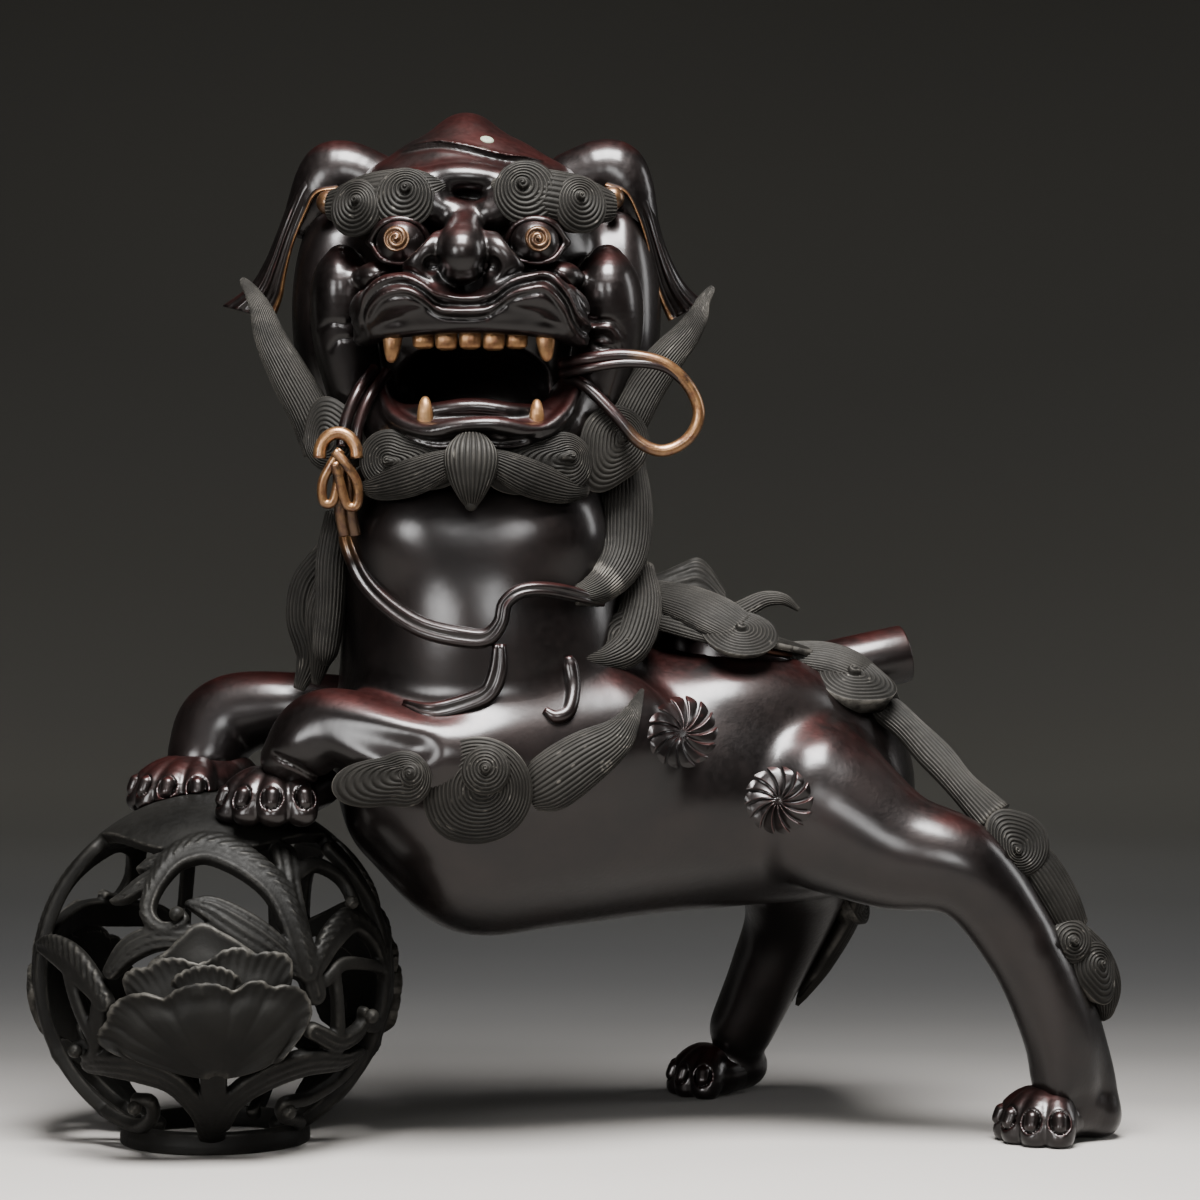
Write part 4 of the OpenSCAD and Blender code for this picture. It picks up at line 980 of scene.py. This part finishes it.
hair("left_neck_lock", *[lock(path, (-0.3, -0.95, 0), ribs) for path, ribs in (
    ([[-79, -10, 208, 5, 5], [-81, -14, 194, 5.5, 6], [-81.5, -16, 178, 5, 6], [-83, -17, 164, 4.4, 5],
      [-83.5, -17, 158.5, 1.6, 2]], 12),
    ([[-83, -2, 196, 5, 5], [-91, 0, 186, 5, 5], [-93, 2, 174, 5, 5], [-90, 4, 162, 5, 5],
      [-94, 4, 150, 2, 2]], 10),
    ([[-80, -4, 192, 5, 5], [-86, -4, 176, 5, 5], [-86, -2, 162, 4, 4], [-88, 0, 152, 1.5, 1.5]], 10),
)])
hair("right_neck_mane",
     lock([[13, -12, 226, 8, 8], [14, -17, 210, 10, 8], [12.5, -22, 195, 9.5, 8], [6, -30, 185, 6.5, 6.5],
           [-3, -36.5, 181, 3.2, 4]], (0.45, -0.9, 0), 22),
     lock([[18, -8, 190, 6, 7], [19, -14, 178, 8, 7], [15, -20, 166, 8, 7], [7, -26, 161, 5, 5],
           [-2, -34, 161.5, 2.4, 3]], (0.45, -0.9, 0), 18),
     whorl((14.5, -23, 167), (0.45, -0.88, 0.1), 9, 2.4, 7, knob=0.18, deep=7, tip=(60, 0.25),
           eye=(-1.047, -0.99)))

flame = [[-16, 118, 6, 4], [-10, 121.5, 9.5, 5.5], [1, 129, 9, 5.5], [11, 135.5, 6.5, 5], [16, 142, 3.6, 4],
         [20, 150.5, 0.8, 1.4]]
hair("near_shoulder_flame",
     whorl((-32, -52.6, 119.6), (-0.03, -0.97, -0.2), 17.4, 3.0, 15, start=0.5, knob=0.07, deep=13,
           tip=(225, 0.1), ridge=0.45, eye=(2.356, 2.413)),
     whorl((-29.6, -56.6, 126.4), (-0.05, -0.99, 0.0), 8.0, 2.6, 7, start=0.2, knob=0.2, deep=4,
           ridge=0.45, eye=(0.4, 0.8)),
     whorl((-55.4, -56.6, 123.4), (-0.12, -0.98, -0.1), 9.0, 2.6, 9, start=0.2, knob=0.1, deep=10,
           tip=(188, 1.6), ridge=0.45, eye=(3.002, 3.059)),
     whorl((-53, -58.8, 125.4), (-0.12, -0.98, 0.05), 4.4, 1.8, 3.6, start=0.2, knob=0.34, deep=4,
           ridge=0.45),
     lock(laid(flame, shoulder, 1.2), (0.1, -1, 0), 18, 0.45))
hair("far_shoulder_flame",
     whorl((-24, 58, 125), (-0.15, 0.98, -0.1), 17, 2.6, 13, -1, 0.5, 0.12, deep=13,
           tip=(325, 0.12), eye=(0.611, 0.668)),
     whorl((-47, 54, 126), (-0.2, 0.97, 0), 9.4, 2.4, 7.5, -1, 0.2, 0.24, deep=10,
           tip=(350, 1.2), eye=(0.175, 0.232)),
     lock([[-8, 60, 120, 9, 6], [2, 63, 126, 9, 6], [13, 66.5, 135, 6, 5], [19, 68, 142, 3, 4],
           [24, 69, 149, 0.8, 1.4]],
          (0, 1, 0), 20))

hair("near_leg_mane",
     lock([[98, 23, 147, 3.5, 4], [104, 17, 142, 6, 5], [111, 10.5, 135.5, 5.6, 5], [119, 4.5, 127, 6.6, 5],
           [127, -2, 117.5, 5.8, 4.8], [137, -7, 107.5, 7.6, 5]], (0.45, -0.85, 0.3), 14),
     lock([[144, -8, 100, 6, 5], [151, -9.5, 92, 7.6, 5.4], [158, -8, 81, 7.6, 5.4], [163, -5, 71, 6.5, 5]],
          (0.5, -0.85, 0.2), 15),
     whorl((144.5, -15.5, 99.5), (0.25, -0.95, 0.15), 10.6, 2.8, 10, knob=0.14, tip=(130, 0.3),
           ridge=0.45, eye=(-2.269, -2.212)),
     whorl((162, -11.5, 67.5), (0.3, -0.95, 0.1), 7.4, 2.4, 6, start=2.4, knob=0.22),
     whorl((170.5, -6.5, 58.5), (0.5, -0.85, 0.1), 8.6, 2.4, 7, start=1.4, knob=0.14, deep=9,
           tip=(290, 0.55), eye=(1.222, 1.279)),
     lock([[164, -4, 68, 6, 5], [170, -1, 60, 7.4, 6], [174, 2, 51, 7, 6], [175, 4, 43, 3.6, 4],
           [174.5, 5, 39.5, 1.2, 1.4]], (0.6, -0.8, 0), 14))
hair("far_leg_mane",
     lock([[99, 66, 92, 5, 5], [97, 72, 82, 8, 6], [93, 83, 66, 8, 6], [86, 91, 50, 6.5, 5],
           [80, 96, 38, 3, 3], [78, 97, 33, 0.8, 1]], (0.75, -0.2, 0.5), 16),
     whorl((99, 78, 72), (0.85, -0.4, 0.3), 8, 2, 6.5, knob=0.18, deep=7))
hair("spine_mane",
     lock([[66, 18, 160, 5, 3], [74, 18.5, 160.5, 8, 4], [84, 18, 159, 9.5, 5], [93, 17, 155.5, 9, 5],
           [102, 19, 149, 6, 4.5], [108, 22, 143, 2, 2]], (0.2, -0.5, 0.85), 20),
     whorl((91, 11, 154), (0.15, -0.6, 0.78), 12, 2, 9, knob=0.18, deep=7, tip=(-30, 0.35),
           eye=(0.524, 0.581)))

yaw, pitch = math.radians(11), math.radians(12)
tail_axis = (math.cos(pitch) * math.cos(yaw), math.cos(pitch) * math.sin(yaw), math.sin(pitch))
socket = [[0.01, 0], [10.1, 0], [10.1, 20], [10.0, 30.5], [7.5, 30.5], [7.5, 4.5], [0.01, 4.5]]
piece("tail_socket", [lathe(socket, (83.3, 41, 155.1), tail_axis, r=0.7)])


# The hearth: collar, ash bowl and lid, in the opening's own frame.
def straight(inside, outside, low, top):
    """The outline of a straight ring or pin."""
    return [[inside, low], [outside, low], [outside, top], [inside, top]]


def hearth_ring(outline, r):
    return lathe(outline, HEARTH, HEARTH_AXIS, 96, r)


collar = straight(inside=22.4, outside=25.6, low=-14, top=4)
piece("hearth_collar", [hearth_ring(collar, 0.5)])
bowl = [
    [0.01, -29.7], [13, -29.7], [17.5, -28.3], [20.7, -25.2], [22, -21.7], [22, 4.3], [24.8, 4.3],
    [24.8, 5.9], [20.2, 5.9], [20.2, -21.7], [19, -24.6], [16.5, -26.9], [13, -27.9], [0.01, -27.9],
]
piece("ash_bowl", [hearth_ring(bowl, 0.6)], "copper", "bowl")

LID_UNDER, LID_HEM, LID_TOP = 6.3, 8.3, 10.5
turn = circle(144)
radius = np.linspace(0.02, 1, 56)[:, None]
reach = 26 + 4.5 * np.abs(np.cos(4.5 * (turn - math.radians(20)))) ** 0.6
x, y = radius * reach * np.cos(turn), radius * reach * np.sin(turn)
ridge = np.abs(np.sin(np.pi * (y + 0.012 * x * x * np.sign(y)) / 2.5)) ** 0.8
dome = (LID_TOP - LID_HEM) * (1 - radius ** 2)
top = np.stack([x, y, LID_HEM + dome + 0.55 * ridge * np.clip((1.02 - radius) * 8, 0, 1)], 2)
hem = np.stack([x[-1], y[-1], np.full(len(turn), LID_UNDER)], 1)
verts, faces = tube(np.concatenate([top, [hem, hem * (0.75, 0.75, 1)]]), (0, 0, LID_TOP), (0, 0, LID_UNDER))
spigot = straight(inside=17.7, outside=19.6, low=1.3, top=7)
hair("lid_plate", (at_hearth(verts), faces), hearth_ring(spigot, 0.4), body="lid")
hair("lid_near_curl",
     lock([[20.5, 12, 182, 7, 2.4], [27, 10.5, 181, 8.5, 3], [36, 7, 178.5, 10, 3.4],
           [45, 2.5, 174.5, 10.5, 3.4], [53, 0, 170, 9, 2.6]], (0.15, -0.6, 0.79), 21),
     lock([[22, 2.5, 173.5, 2.4, 1.6], [29, 1, 172.2, 4, 2.2], [37, -1.5, 170, 4.2, 2.2],
           [45, -4, 167, 2.6, 1.6]],
          (0.1, -0.75, 0.66), 9),
     whorl((53.2, -2, 169.2), (0.10, -0.56, 0.82), 13, 1.6, 10, start=0.3, knob=0.15, deep=2.6), body="lid")
hair("lid_far_lock", leaf(
    [[21.5, 42, 187.6], [28, 44.5, 189.6], [35, 46.5, 192.8], [40.5, 47.5, 194.8], [45, 48, 191.5],
     [50.5, 47, 183]],
    [[21.5, 32, 174.5], [28, 34, 173.5], [35, 35.5, 172.7], [40.5, 37, 171.9], [45, 38, 171],
     [50.5, 39, 169.8]],
    2.4, 0.6, 0.8, 7, (-0.1, -0.8, 0.6))[:2], body="lid")
hair("lid_rear_lock",
     lock([[50, 36, 173.5, 4, 2.6], [57, 37, 177, 4, 2.6], [63.5, 38, 180, 3.4, 2.4],
           [70, 38.5, 180, 2.4, 1.8], [75.2, 39, 176.6, 0.8, 0.9]], (-0.1, -0.7, 0.7), 9), body="lid")


# The openwork ball: stems and leaves on a shell, in degrees of longitude from the front and of latitude.
def ball_way(lon, lat):
    lon, lat = np.radians(lon), np.radians(lat)
    return np.stack([np.sin(lon) * np.cos(lat), -np.cos(lon) * np.cos(lat), np.sin(lat)], -1)


VINE_HALF = 2.3
VINE_EDGE = 0.9
VINE_DOME = 1.1
FEATHER_LEFT, FEATHER_RIGHT = 5, 6


def vine(clay, path, ribs, raised):
    """A stem or a leaf: rows [longitude, latitude, half width], with ribs along it or a feathered side."""
    rows = spline(path, 5)
    run = ball_way(rows[:, 0], rows[:, 1]) * BALL_R
    wide = rows[:, 2]
    cut, (x, y, z) = clay.window(BALL + run.min(0) - wide.max() - 8, BALL + run.max(0) + wide.max() + 8)
    p = np.stack(np.broadcast_arrays(x - BALL[0], y - BALL[1], z - BALL[2]), -1).reshape(-1, 3)
    r = np.linalg.norm(p, axis=1)
    pick = np.flatnonzero(np.abs(r - BALL_R) < 9)
    p, r = p[pick], r[pick]
    q = p * (BALL_R / r)[:, None]
    flat, lean, walk = np.full(len(q), FAR), np.zeros(len(q)), np.zeros(len(q))
    gone = 0.0
    for a, b, wa, wb in zip(run[:-1], run[1:], wide[:-1], wide[1:]):
        v = b - a
        o = q - a
        t = np.clip(o @ v / max(v @ v, 1e-9), 0, 1)
        o = o - t[:, None] * v
        w = wa + t * (wb - wa)
        d = np.linalg.norm(o, axis=1)
        closer = d - w < flat
        flat = np.where(closer, d - w, flat)
        if ribs:
            lean = np.where(closer, np.sign(o @ np.cross(a, v)) * d / np.maximum(w, 0.3), lean)
            walk = np.where(closer, gone + t * np.linalg.norm(v), walk)
        gone += np.linalg.norm(v)
    lift = r - (BALL_R - VINE_HALF + raised)
    dome = VINE_DOME * np.sqrt(np.clip(-flat / 4.0, 0, 1))
    deep = np.maximum(lift - VINE_HALF - dome + VINE_DOME, -lift - VINE_HALF)
    a, b = flat + VINE_EDGE, deep + VINE_EDGE
    d = np.minimum(np.maximum(a, b), 0) + np.hypot(np.maximum(a, 0), np.maximum(b, 0)) - VINE_EDGE
    if ribs in (FEATHER_LEFT, FEATHER_RIGHT):
        out = lean if ribs == FEATHER_RIGHT else -lean
        feather = np.abs(np.sin(np.pi * (walk / 3.6 + 1.9 * out))) ** 0.6 * np.clip((out + 0.05) * 6, 0, 1)
        d = d - (0.7 * feather - 0.3 + 0.5 * bell(out, -0.75, 0.2)) * (lift > 0)
    elif ribs:
        d = d - 0.75 * (np.abs(np.sin(np.pi * ribs * (lean + 1) / 2)) ** 0.7 - 0.6) * (lift > 0)
    block = clay.d[cut]
    flat_block = block.reshape(-1)
    flat_block[pick] = melt(flat_block[pick], d.astype(np.float32), 0.9)
    clay.d[cut] = flat_block.reshape(block.shape)


# Paths, their ribs and how far they stand out.
STEM = ([(6, -24, 4.6), (6, -42, 4.2), (4, -64, 4.6)], 0, 0.6)
FRONT_VINES = [
    ([(-80, 46, 3), (-80, 28, 2.6), (-81, 8, 2.6), (-81, -10, 2.6), (-79, -28, 2.4), (-74, -48, 2.4),
      (-70, -62, 2.6)],
     0, 0.0),
    ([(36, 6, 4.5), (33, 21, 4.5), (29, 33, 5.2), (19, 43, 6.0), (4, 49, 6.2), (-10, 45, 4.8), (-16, 35, 3.2),
      (-17, 25, 2.6), (-11, 20, 2.2), (-4, 22, 1.8), (-5, 25, 1.4)], FEATHER_LEFT, 0.8),
    ([(-14, 40, 3), (-22, 35, 3.2), (-28, 30, 2.2), (-33, 28, 0.8)], 3, 0.2),
    ([(-10, 46, 3), (-20, 43, 3), (-26, 40, 1.2)], 3, 0.2),
    ([(40, 46, 5), (36, 34, 4.4), (35, 20, 4.6), (37, 8, 4.6), (40, -2, 4)], 3, 0.0),
    ([(-3, 28, 1.2), (5, 26.5, 4.4), (16, 20, 6), (26, 13, 5), (33, 6, 3)], 4, 0.5),
    ([(40, 6, 3), (48, 15, 4.4), (60, 20, 4.6), (71, 14, 4), (77, 3, 2.6)], FEATHER_RIGHT, 0.5),
    ([(77, 4, 2.4), (84, -6, 2.2), (79, -15, 2.2), (68, -15, 2.2), (64, -10, 1.8)], 0, 0.3),
    ([(44, 2, 2.4), (52, 6.5, 2.4), (66, 5, 2.0), (76, 3, 2)], 0, 0.0),
    ([(48, 4, 2.0), (50, -7, 2.0), (52, -16, 2.4)], 0, 0.0),
    ([(-78, 10, 1.6), (-60, 11, 4.4), (-46, 8, 5.4), (-36, 2, 4.6), (-30, -4, 3)], FEATHER_RIGHT, 0.5),
    ([(-46, 4, 3), (-41, -8, 2.6), (-37, -18, 2.2), (-42, -23, 2), (-46, -19, 1.6)], 0, 0.4),
    ([(-44, -26, 3), (-34, -25, 4.6), (-20, -26, 5.4), (-8, -31, 4.6), (0, -43, 3.8), (3, -54, 4)], 4, 0.3),
    ([(9, -50, 4), (14, -38, 4.2), (26, -29, 5.2), (41, -25, 5), (58, -26, 3.6), (68, -24, 2)], 4, 0.3),
    STEM,
    ([(-74, -50, 2.4), (-46, -56, 2.4), (-26, -49, 2.2), (-21, -40, 2), (-28, -39, 1.6)], 0, 0.2),
    ([(72, -26, 3), (64, -34, 2.4), (50, -41, 2.2), (38, -42, 2), (42, -49, 2.2), (62, -55, 2.4),
      (76, -62, 2.6)], 0, 0.2),
    ([(40, -14, 3), (52, -19, 3.4), (62, -17, 3), (66, -12, 2.2)], 3, 0.2),
    ([(68, -14, 2.4), (82, -20, 2.4), (80, -38, 2.4), (78, -62, 2.6)], 0, 0.0),
    ([(76, 46, 3), (80, 30, 2.6), (86, 12, 2.4), (90, -8, 2.4), (88, -26, 2.4), (80, -44, 2.4)], 0, 0.0),
    ([(38, 37, 3), (54, 41, 2.6), (66, 34, 2.2), (66, 22, 2)], 0, 0.2),
    ([(-28, 6, 3), (-22, 13, 4.6), (-13, 17, 4.6), (-4, 17, 4), (4, 17, 5), (16, 12, 5), (28, 8, 4)], 4, 0.0),
    ([(-32, -2, 3), (-34, -10, 3.4), (-38, -20, 2.4)], 0, 0.0),
]
SIDE_VINES = [
    STEM,
    ([(-38, -24, 2.4), (-24, -26, 4.6), (-8, -31, 4.6), (0, -43, 3.8), (3, -54, 4)], 4, 0.3),
    ([(9, -50, 4), (14, -38, 4.2), (26, -29, 5), (42, -27, 3)], 4, 0.3),
    ([(36, -2, 4), (33, 20, 4.5), (27, 33, 5), (16, 42, 5.6), (2, 47, 5), (-12, 42, 4), (-17, 30, 3),
      (-13, 21, 2.2), (-6, 23, 1.8)], FEATHER_LEFT, 0.6),
    ([(-38, 52, 3), (-40, 30, 2.6), (-40, 6, 2.6), (-42, -18, 2.6), (-40, -44, 2.4), (-38, -62, 2.6)],
     0, 0.0),
    ([(40, 52, 3), (42, 24, 2.6), (43, 2, 2.6), (42, -26, 2.6), (38, -44, 2.4), (36, -62, 2.6)], 0, 0.0),
    ([(-40, 8, 2), (-30, 14, 4.4), (-14, 16, 5), (4, 17, 5), (22, 12, 4), (40, 6, 2.4)], 4, 0.0),
    ([(-40, -4, 2), (-34, -8, 3), (-28, -12, 3)], 0, 0.0),
]
CAP_HALF = 2.2
cage = Clay((-64, -64, -58), (64, 64, 64), 0.62, BALL)
x, y, z = np.meshgrid(*cage.axes, indexing="ij", sparse=True)
x, y, z = x - BALL[0], y - BALL[1], z - BALL[2]
r = np.sqrt(x * x + y * y + z * z)
shell = np.abs(r - (BALL_R - CAP_HALF)) - CAP_HALF
edge = np.arccos(np.clip(z / r, -1, 1)) - np.radians(41 + 3 * np.sin(3 * np.arctan2(y, x)))
cage.d = np.minimum(cage.d, np.maximum(shell, BALL_R * edge)).astype(np.float32)
for row in FRONT_VINES:
    vine(cage, *row)
for spin in (122, 238):
    for path, *how in SIDE_VINES:
        vine(cage, [(lon + spin, lat, w) for lon, lat, w in path], *how)
BUDS = ((-6, 24, 2.4), (60, 25, 2.2), (-45, -20, 2.4), (-27, -40, 2.4), (39, -43, 2.4), (65, -11, 2.4))
buds = [knob_at(BALL + ball_way(lon, lat) * (BALL_R + 0.6), size, 12, 20) for lon, lat, size in BUDS]
foot = [[27.5, 0.1], [31.5, 0.1], [31.5, 3.4], [30.6, 6.4], [27.5, 7.4]]
piece("openwork_ball", [cage.skin(), lathe(foot, (*BALL[:2], 0), UPRIGHT, 96, 0.8), *buds], "ball_bronze")


def sheet(top, under):
    """A closed thin form between two grids of points."""
    m, n = top.shape[:2]
    index = np.arange(m * n).reshape(m, n)
    over = np.stack([index[:-1, :-1], index[1:, :-1], index[1:, 1:], index[:-1, 1:]], 2).reshape(-1, 4)
    rim = np.concatenate([index[0], index[1:, -1], index[-1, -2::-1], index[-2:0:-1, 0]])
    after, base = np.roll(rim, -1), m * n
    walls = np.stack([rim, after, after + base, rim + base], 1)
    return np.vstack([top.reshape(-1, 3), under.reshape(-1, 3)]), [over, over[:, ::-1] + base, walls]


LOOK = unit((0.117, -0.987, 0.113))
EAST = unit(np.cross(UPRIGHT, LOOK))
NORTH = np.cross(LOOK, EAST)
FLOWER_X, FLOWER_Z, FLOWER_WIDE = 0.5, -34.4, 1.45


def petals(spin, rim, low, high, flutes, frill, parts=()):
    """A round of petals that fans out from the flower's foot to a scalloped rim of [angle, reach]."""
    rim = np.array(rim, float)
    angle = np.linspace(rim[0, 0], rim[-1, 0], int(104 / COARSE))[None, :]
    t = np.linspace(0, 1, int(30 / COARSE))[:, None] ** 0.8
    a = np.radians(angle)
    edge = np.interp(angle, *spline(rim, 6).T) + frill * np.abs(np.sin(a * flutes * 0.5))
    reach = 2 + (edge - 2) * t
    x, z = FLOWER_X + FLOWER_WIDE * reach * np.cos(a), FLOWER_Z + reach * np.sin(a)
    cup = low + (high - low) * np.sin(np.pi * np.clip(t * 0.62, 0, 0.5)) ** 0.8
    lift = cup - 0.9 * bell(t, 0.86, 0.09) + 0.5 * bell(t, 0.985, 0.025) + 0.16 * np.cos(a * flutes) * t ** 4
    for parting in parts:
        lift = lift - 0.9 * np.exp(-np.abs(angle - parting) / 2.6) * t ** 1.2
    if parts:
        lift = lift + 1.1 * bell(angle, 97, 5) * bell(t, 0.9, 0.07)
    side = np.clip(np.minimum(angle - rim[0, 0], rim[-1, 0] - angle) / 7, 0, 1)
    lift = 0.4 + (lift - 0.4) * np.sin(0.5 * np.pi * side) * (0.4 if spin else 1)
    y = np.sqrt(np.clip(BALL_R ** 2 - x * x - z * z, 4, None))
    spot = unit(x[:, :, None] * EAST + z[:, :, None] * NORTH + y[:, :, None] * LOOK)
    c, s = math.cos(math.radians(spin)), math.sin(math.radians(spin))
    spot = spot @ np.array([[c, s, 0], [-s, c, 0], [0, 0, 1]])
    return sheet(BALL + spot * (BALL_R + lift)[:, :, None], BALL + spot * (BALL_R - 2.4))


CREST = [(73, 34), (78, 40), (83, 43), (88, 46), (94, 49.4), (99, 46.4), (104, 42.5), (110, 40.4), (116, 36)]
SIDES = [
    (60, 30), (64, 35.4), (69, 41.2), (75, 41.4), (79, 40.2), (83, 41.6), (88, 40.6), (93, 37.6), (97, 37),
    (101, 39), (107, 40), (112, 38.6), (116, 39.4), (121, 37.6), (126, 32),
]
MIDDLE = [(78, 29), (81, 32), (87, 35), (94, 36.2), (101, 35.2), (106, 33), (110, 29)]
CUP = [
    (28, 12), (38, 18), (46, 25.6), (50, 29), (57, 32.6), (64, 33.4), (69.5, 31.6), (74, 32.6), (79, 31.6),
    (83, 28.8), (90, 30.6), (97, 31), (105, 30.4), (112, 28.8), (117, 31.6), (124, 33), (131, 32.2),
    (137, 30), (142, 29.4), (148, 28), (152, 23), (157, 13),
]
PEONY = (
    (CREST, 0.4, 1.6, 40, 0.2), (SIDES, 0.6, 3.0, 120, 0.5), (MIDDLE, 0.8, 4.2, 120, 0.5),
    (CUP, 0.8, 5.6, 90, 0.4, (56, 69.5, 83, 112, 126, 137, 146)),
)
piece("ball_peonies", [petals(spin, *row) for spin in (0, 120, 240) for row in PEONY], "ball_bronze")

pin = straight(inside=0.01, outside=2.9, low=0.3, top=15.7)
pin_spots = NEAR_PAW + (6, -6, 8), FAR_PAW + (3, 1, 8)
piece("paw_dowels", [lathe(pin, at, UPRIGHT, 32) for at in pin_spots], "copper")


# A seamless round backdrop whose colour is painted light: a bright pool on the floor under and in front of
# the lion, falling off fast to near black behind it, and lighter again up the bend and the wall.
FLOOR_R, BEND_R = 1.4, 0.9


def backdrop():
    outline = [(r, 0.0) for r in (0.00001, 0.2, 0.4, 0.7, 1.0, FLOOR_R)]
    bend = np.linspace(0.1, math.pi / 2, 14)
    outline += [(FLOOR_R + BEND_R * math.sin(a), BEND_R - BEND_R * math.cos(a)) for a in bend]
    outline += [(FLOOR_R + BEND_R, z) for z in (1.6, 2.8)]
    turns = circle(96)
    verts = [(r * math.cos(t), r * math.sin(t), z) for r, z in outline for t in turns]
    mesh = bpy.data.meshes.new("backdrop")
    mesh.from_pydata(verts, [], tube_faces(len(outline), len(turns))[0].tolist())
    mesh.shade_smooth()
    s = Shader("backdrop")
    place = s.add("Mapping", {"Vector": s.where, "Location": (0, 0.2, 0), "Scale": (0.28, 1, 1)})
    far = s.add("VectorMath", {0: place}, "Value", operation="LENGTH")
    span = s.add("MapRange", {"Value": far, "From Min": 0.08, "From Max": 2.68})
    cloud = s.add("MapRange", {"Value": s.noise(5.0, 2.0, 0.5), "To Min": -0.004, "To Max": 0.004})
    # Painted light: this colour ramp stands in for the fall of the lamps' light, with a bright pool near the
    # lion, near black further out on the floor and a lighter wall.
    painted_light_ramp = s.add("ValToRGB", {"Fac": s.add("Math", {0: span, 1: cloud})})
    painted_falloff_tones = (
        (0.0, 0.72), (0.035, 0.62), (0.07, 0.275), (0.119, 0.097), (0.155, 0.047), (0.182, 0.029),
        (0.21, 0.019), (0.262, 0.0152), (0.37, 0.0245), (0.52, 0.073), (0.65, 0.105), (0.795, 0.076),
        (0.877, 0.072), (0.937, 0.094), (0.975, 0.105), (1.0, 0.105),
    )
    stops = painted_light_ramp.node.color_ramp.elements
    for i, (spot, tone) in enumerate(painted_falloff_tones):
        stop = stops[i] if i < 2 else stops.new(spot)
        stop.position = spot
        stop.color = (tone * 0.36, tone * 0.338, tone * (0.314 if spot < 0.3 else 0.28), 1)
    s.feed(s.bsdf, {"Base Color": painted_light_ramp, "Roughness": 0.85})
    mesh.materials.append(s.mat)
    new_thing("backdrop", mesh)


def light(name, at, aim, size, power, spread):
    lamp = bpy.data.lights.new(name, "AREA")
    lamp.shape = "RECTANGLE"
    lamp.size, lamp.size_y = size
    lamp.energy = power
    lamp.spread = math.radians(spread)
    thing = new_thing(name, lamp)
    thing.location = at
    thing.rotation_euler = (Vector(aim) - Vector(at)).to_track_quat("-Z", "Y").to_euler()
    thing.visible_camera = False


backdrop()
light("overhead", (0.05, -0.5, 1.12), (0.0, 0.0, 0.15), (0.58, 0.52), 62, 140)
light("front_left", (-0.80, -1.26, 0.36), (-0.02, 0, 0.22), (0.8, 0.8), 2.0, 30)
light("front_fill", (0.2, -1.75, 0.55), (0, 0, 0.24), (1.3, 0.8), 1.5, 24)
light("right_rim", (1.3, 0.25, 0.6), (0, 0, 0.15), (0.3, 0.8), 3, 120)

world = bpy.data.worlds.new("studio")
world.use_nodes = True
world.node_tree.nodes["Background"].inputs["Color"].default_value = (0.02, 0.02, 0.0195, 1)
world.node_tree.nodes["Background"].inputs["Strength"].default_value = 1.0
bpy.context.scene.world = world

cam = bpy.data.cameras.new("camera")
cam.lens, cam.sensor_width = 97.5, 36.0
eye = new_thing("camera", cam)
eye.location = (0.00847, -1.10933, 0.180)
eye.rotation_euler = (math.pi / 2, 0, 0)
bpy.context.scene.camera = eye
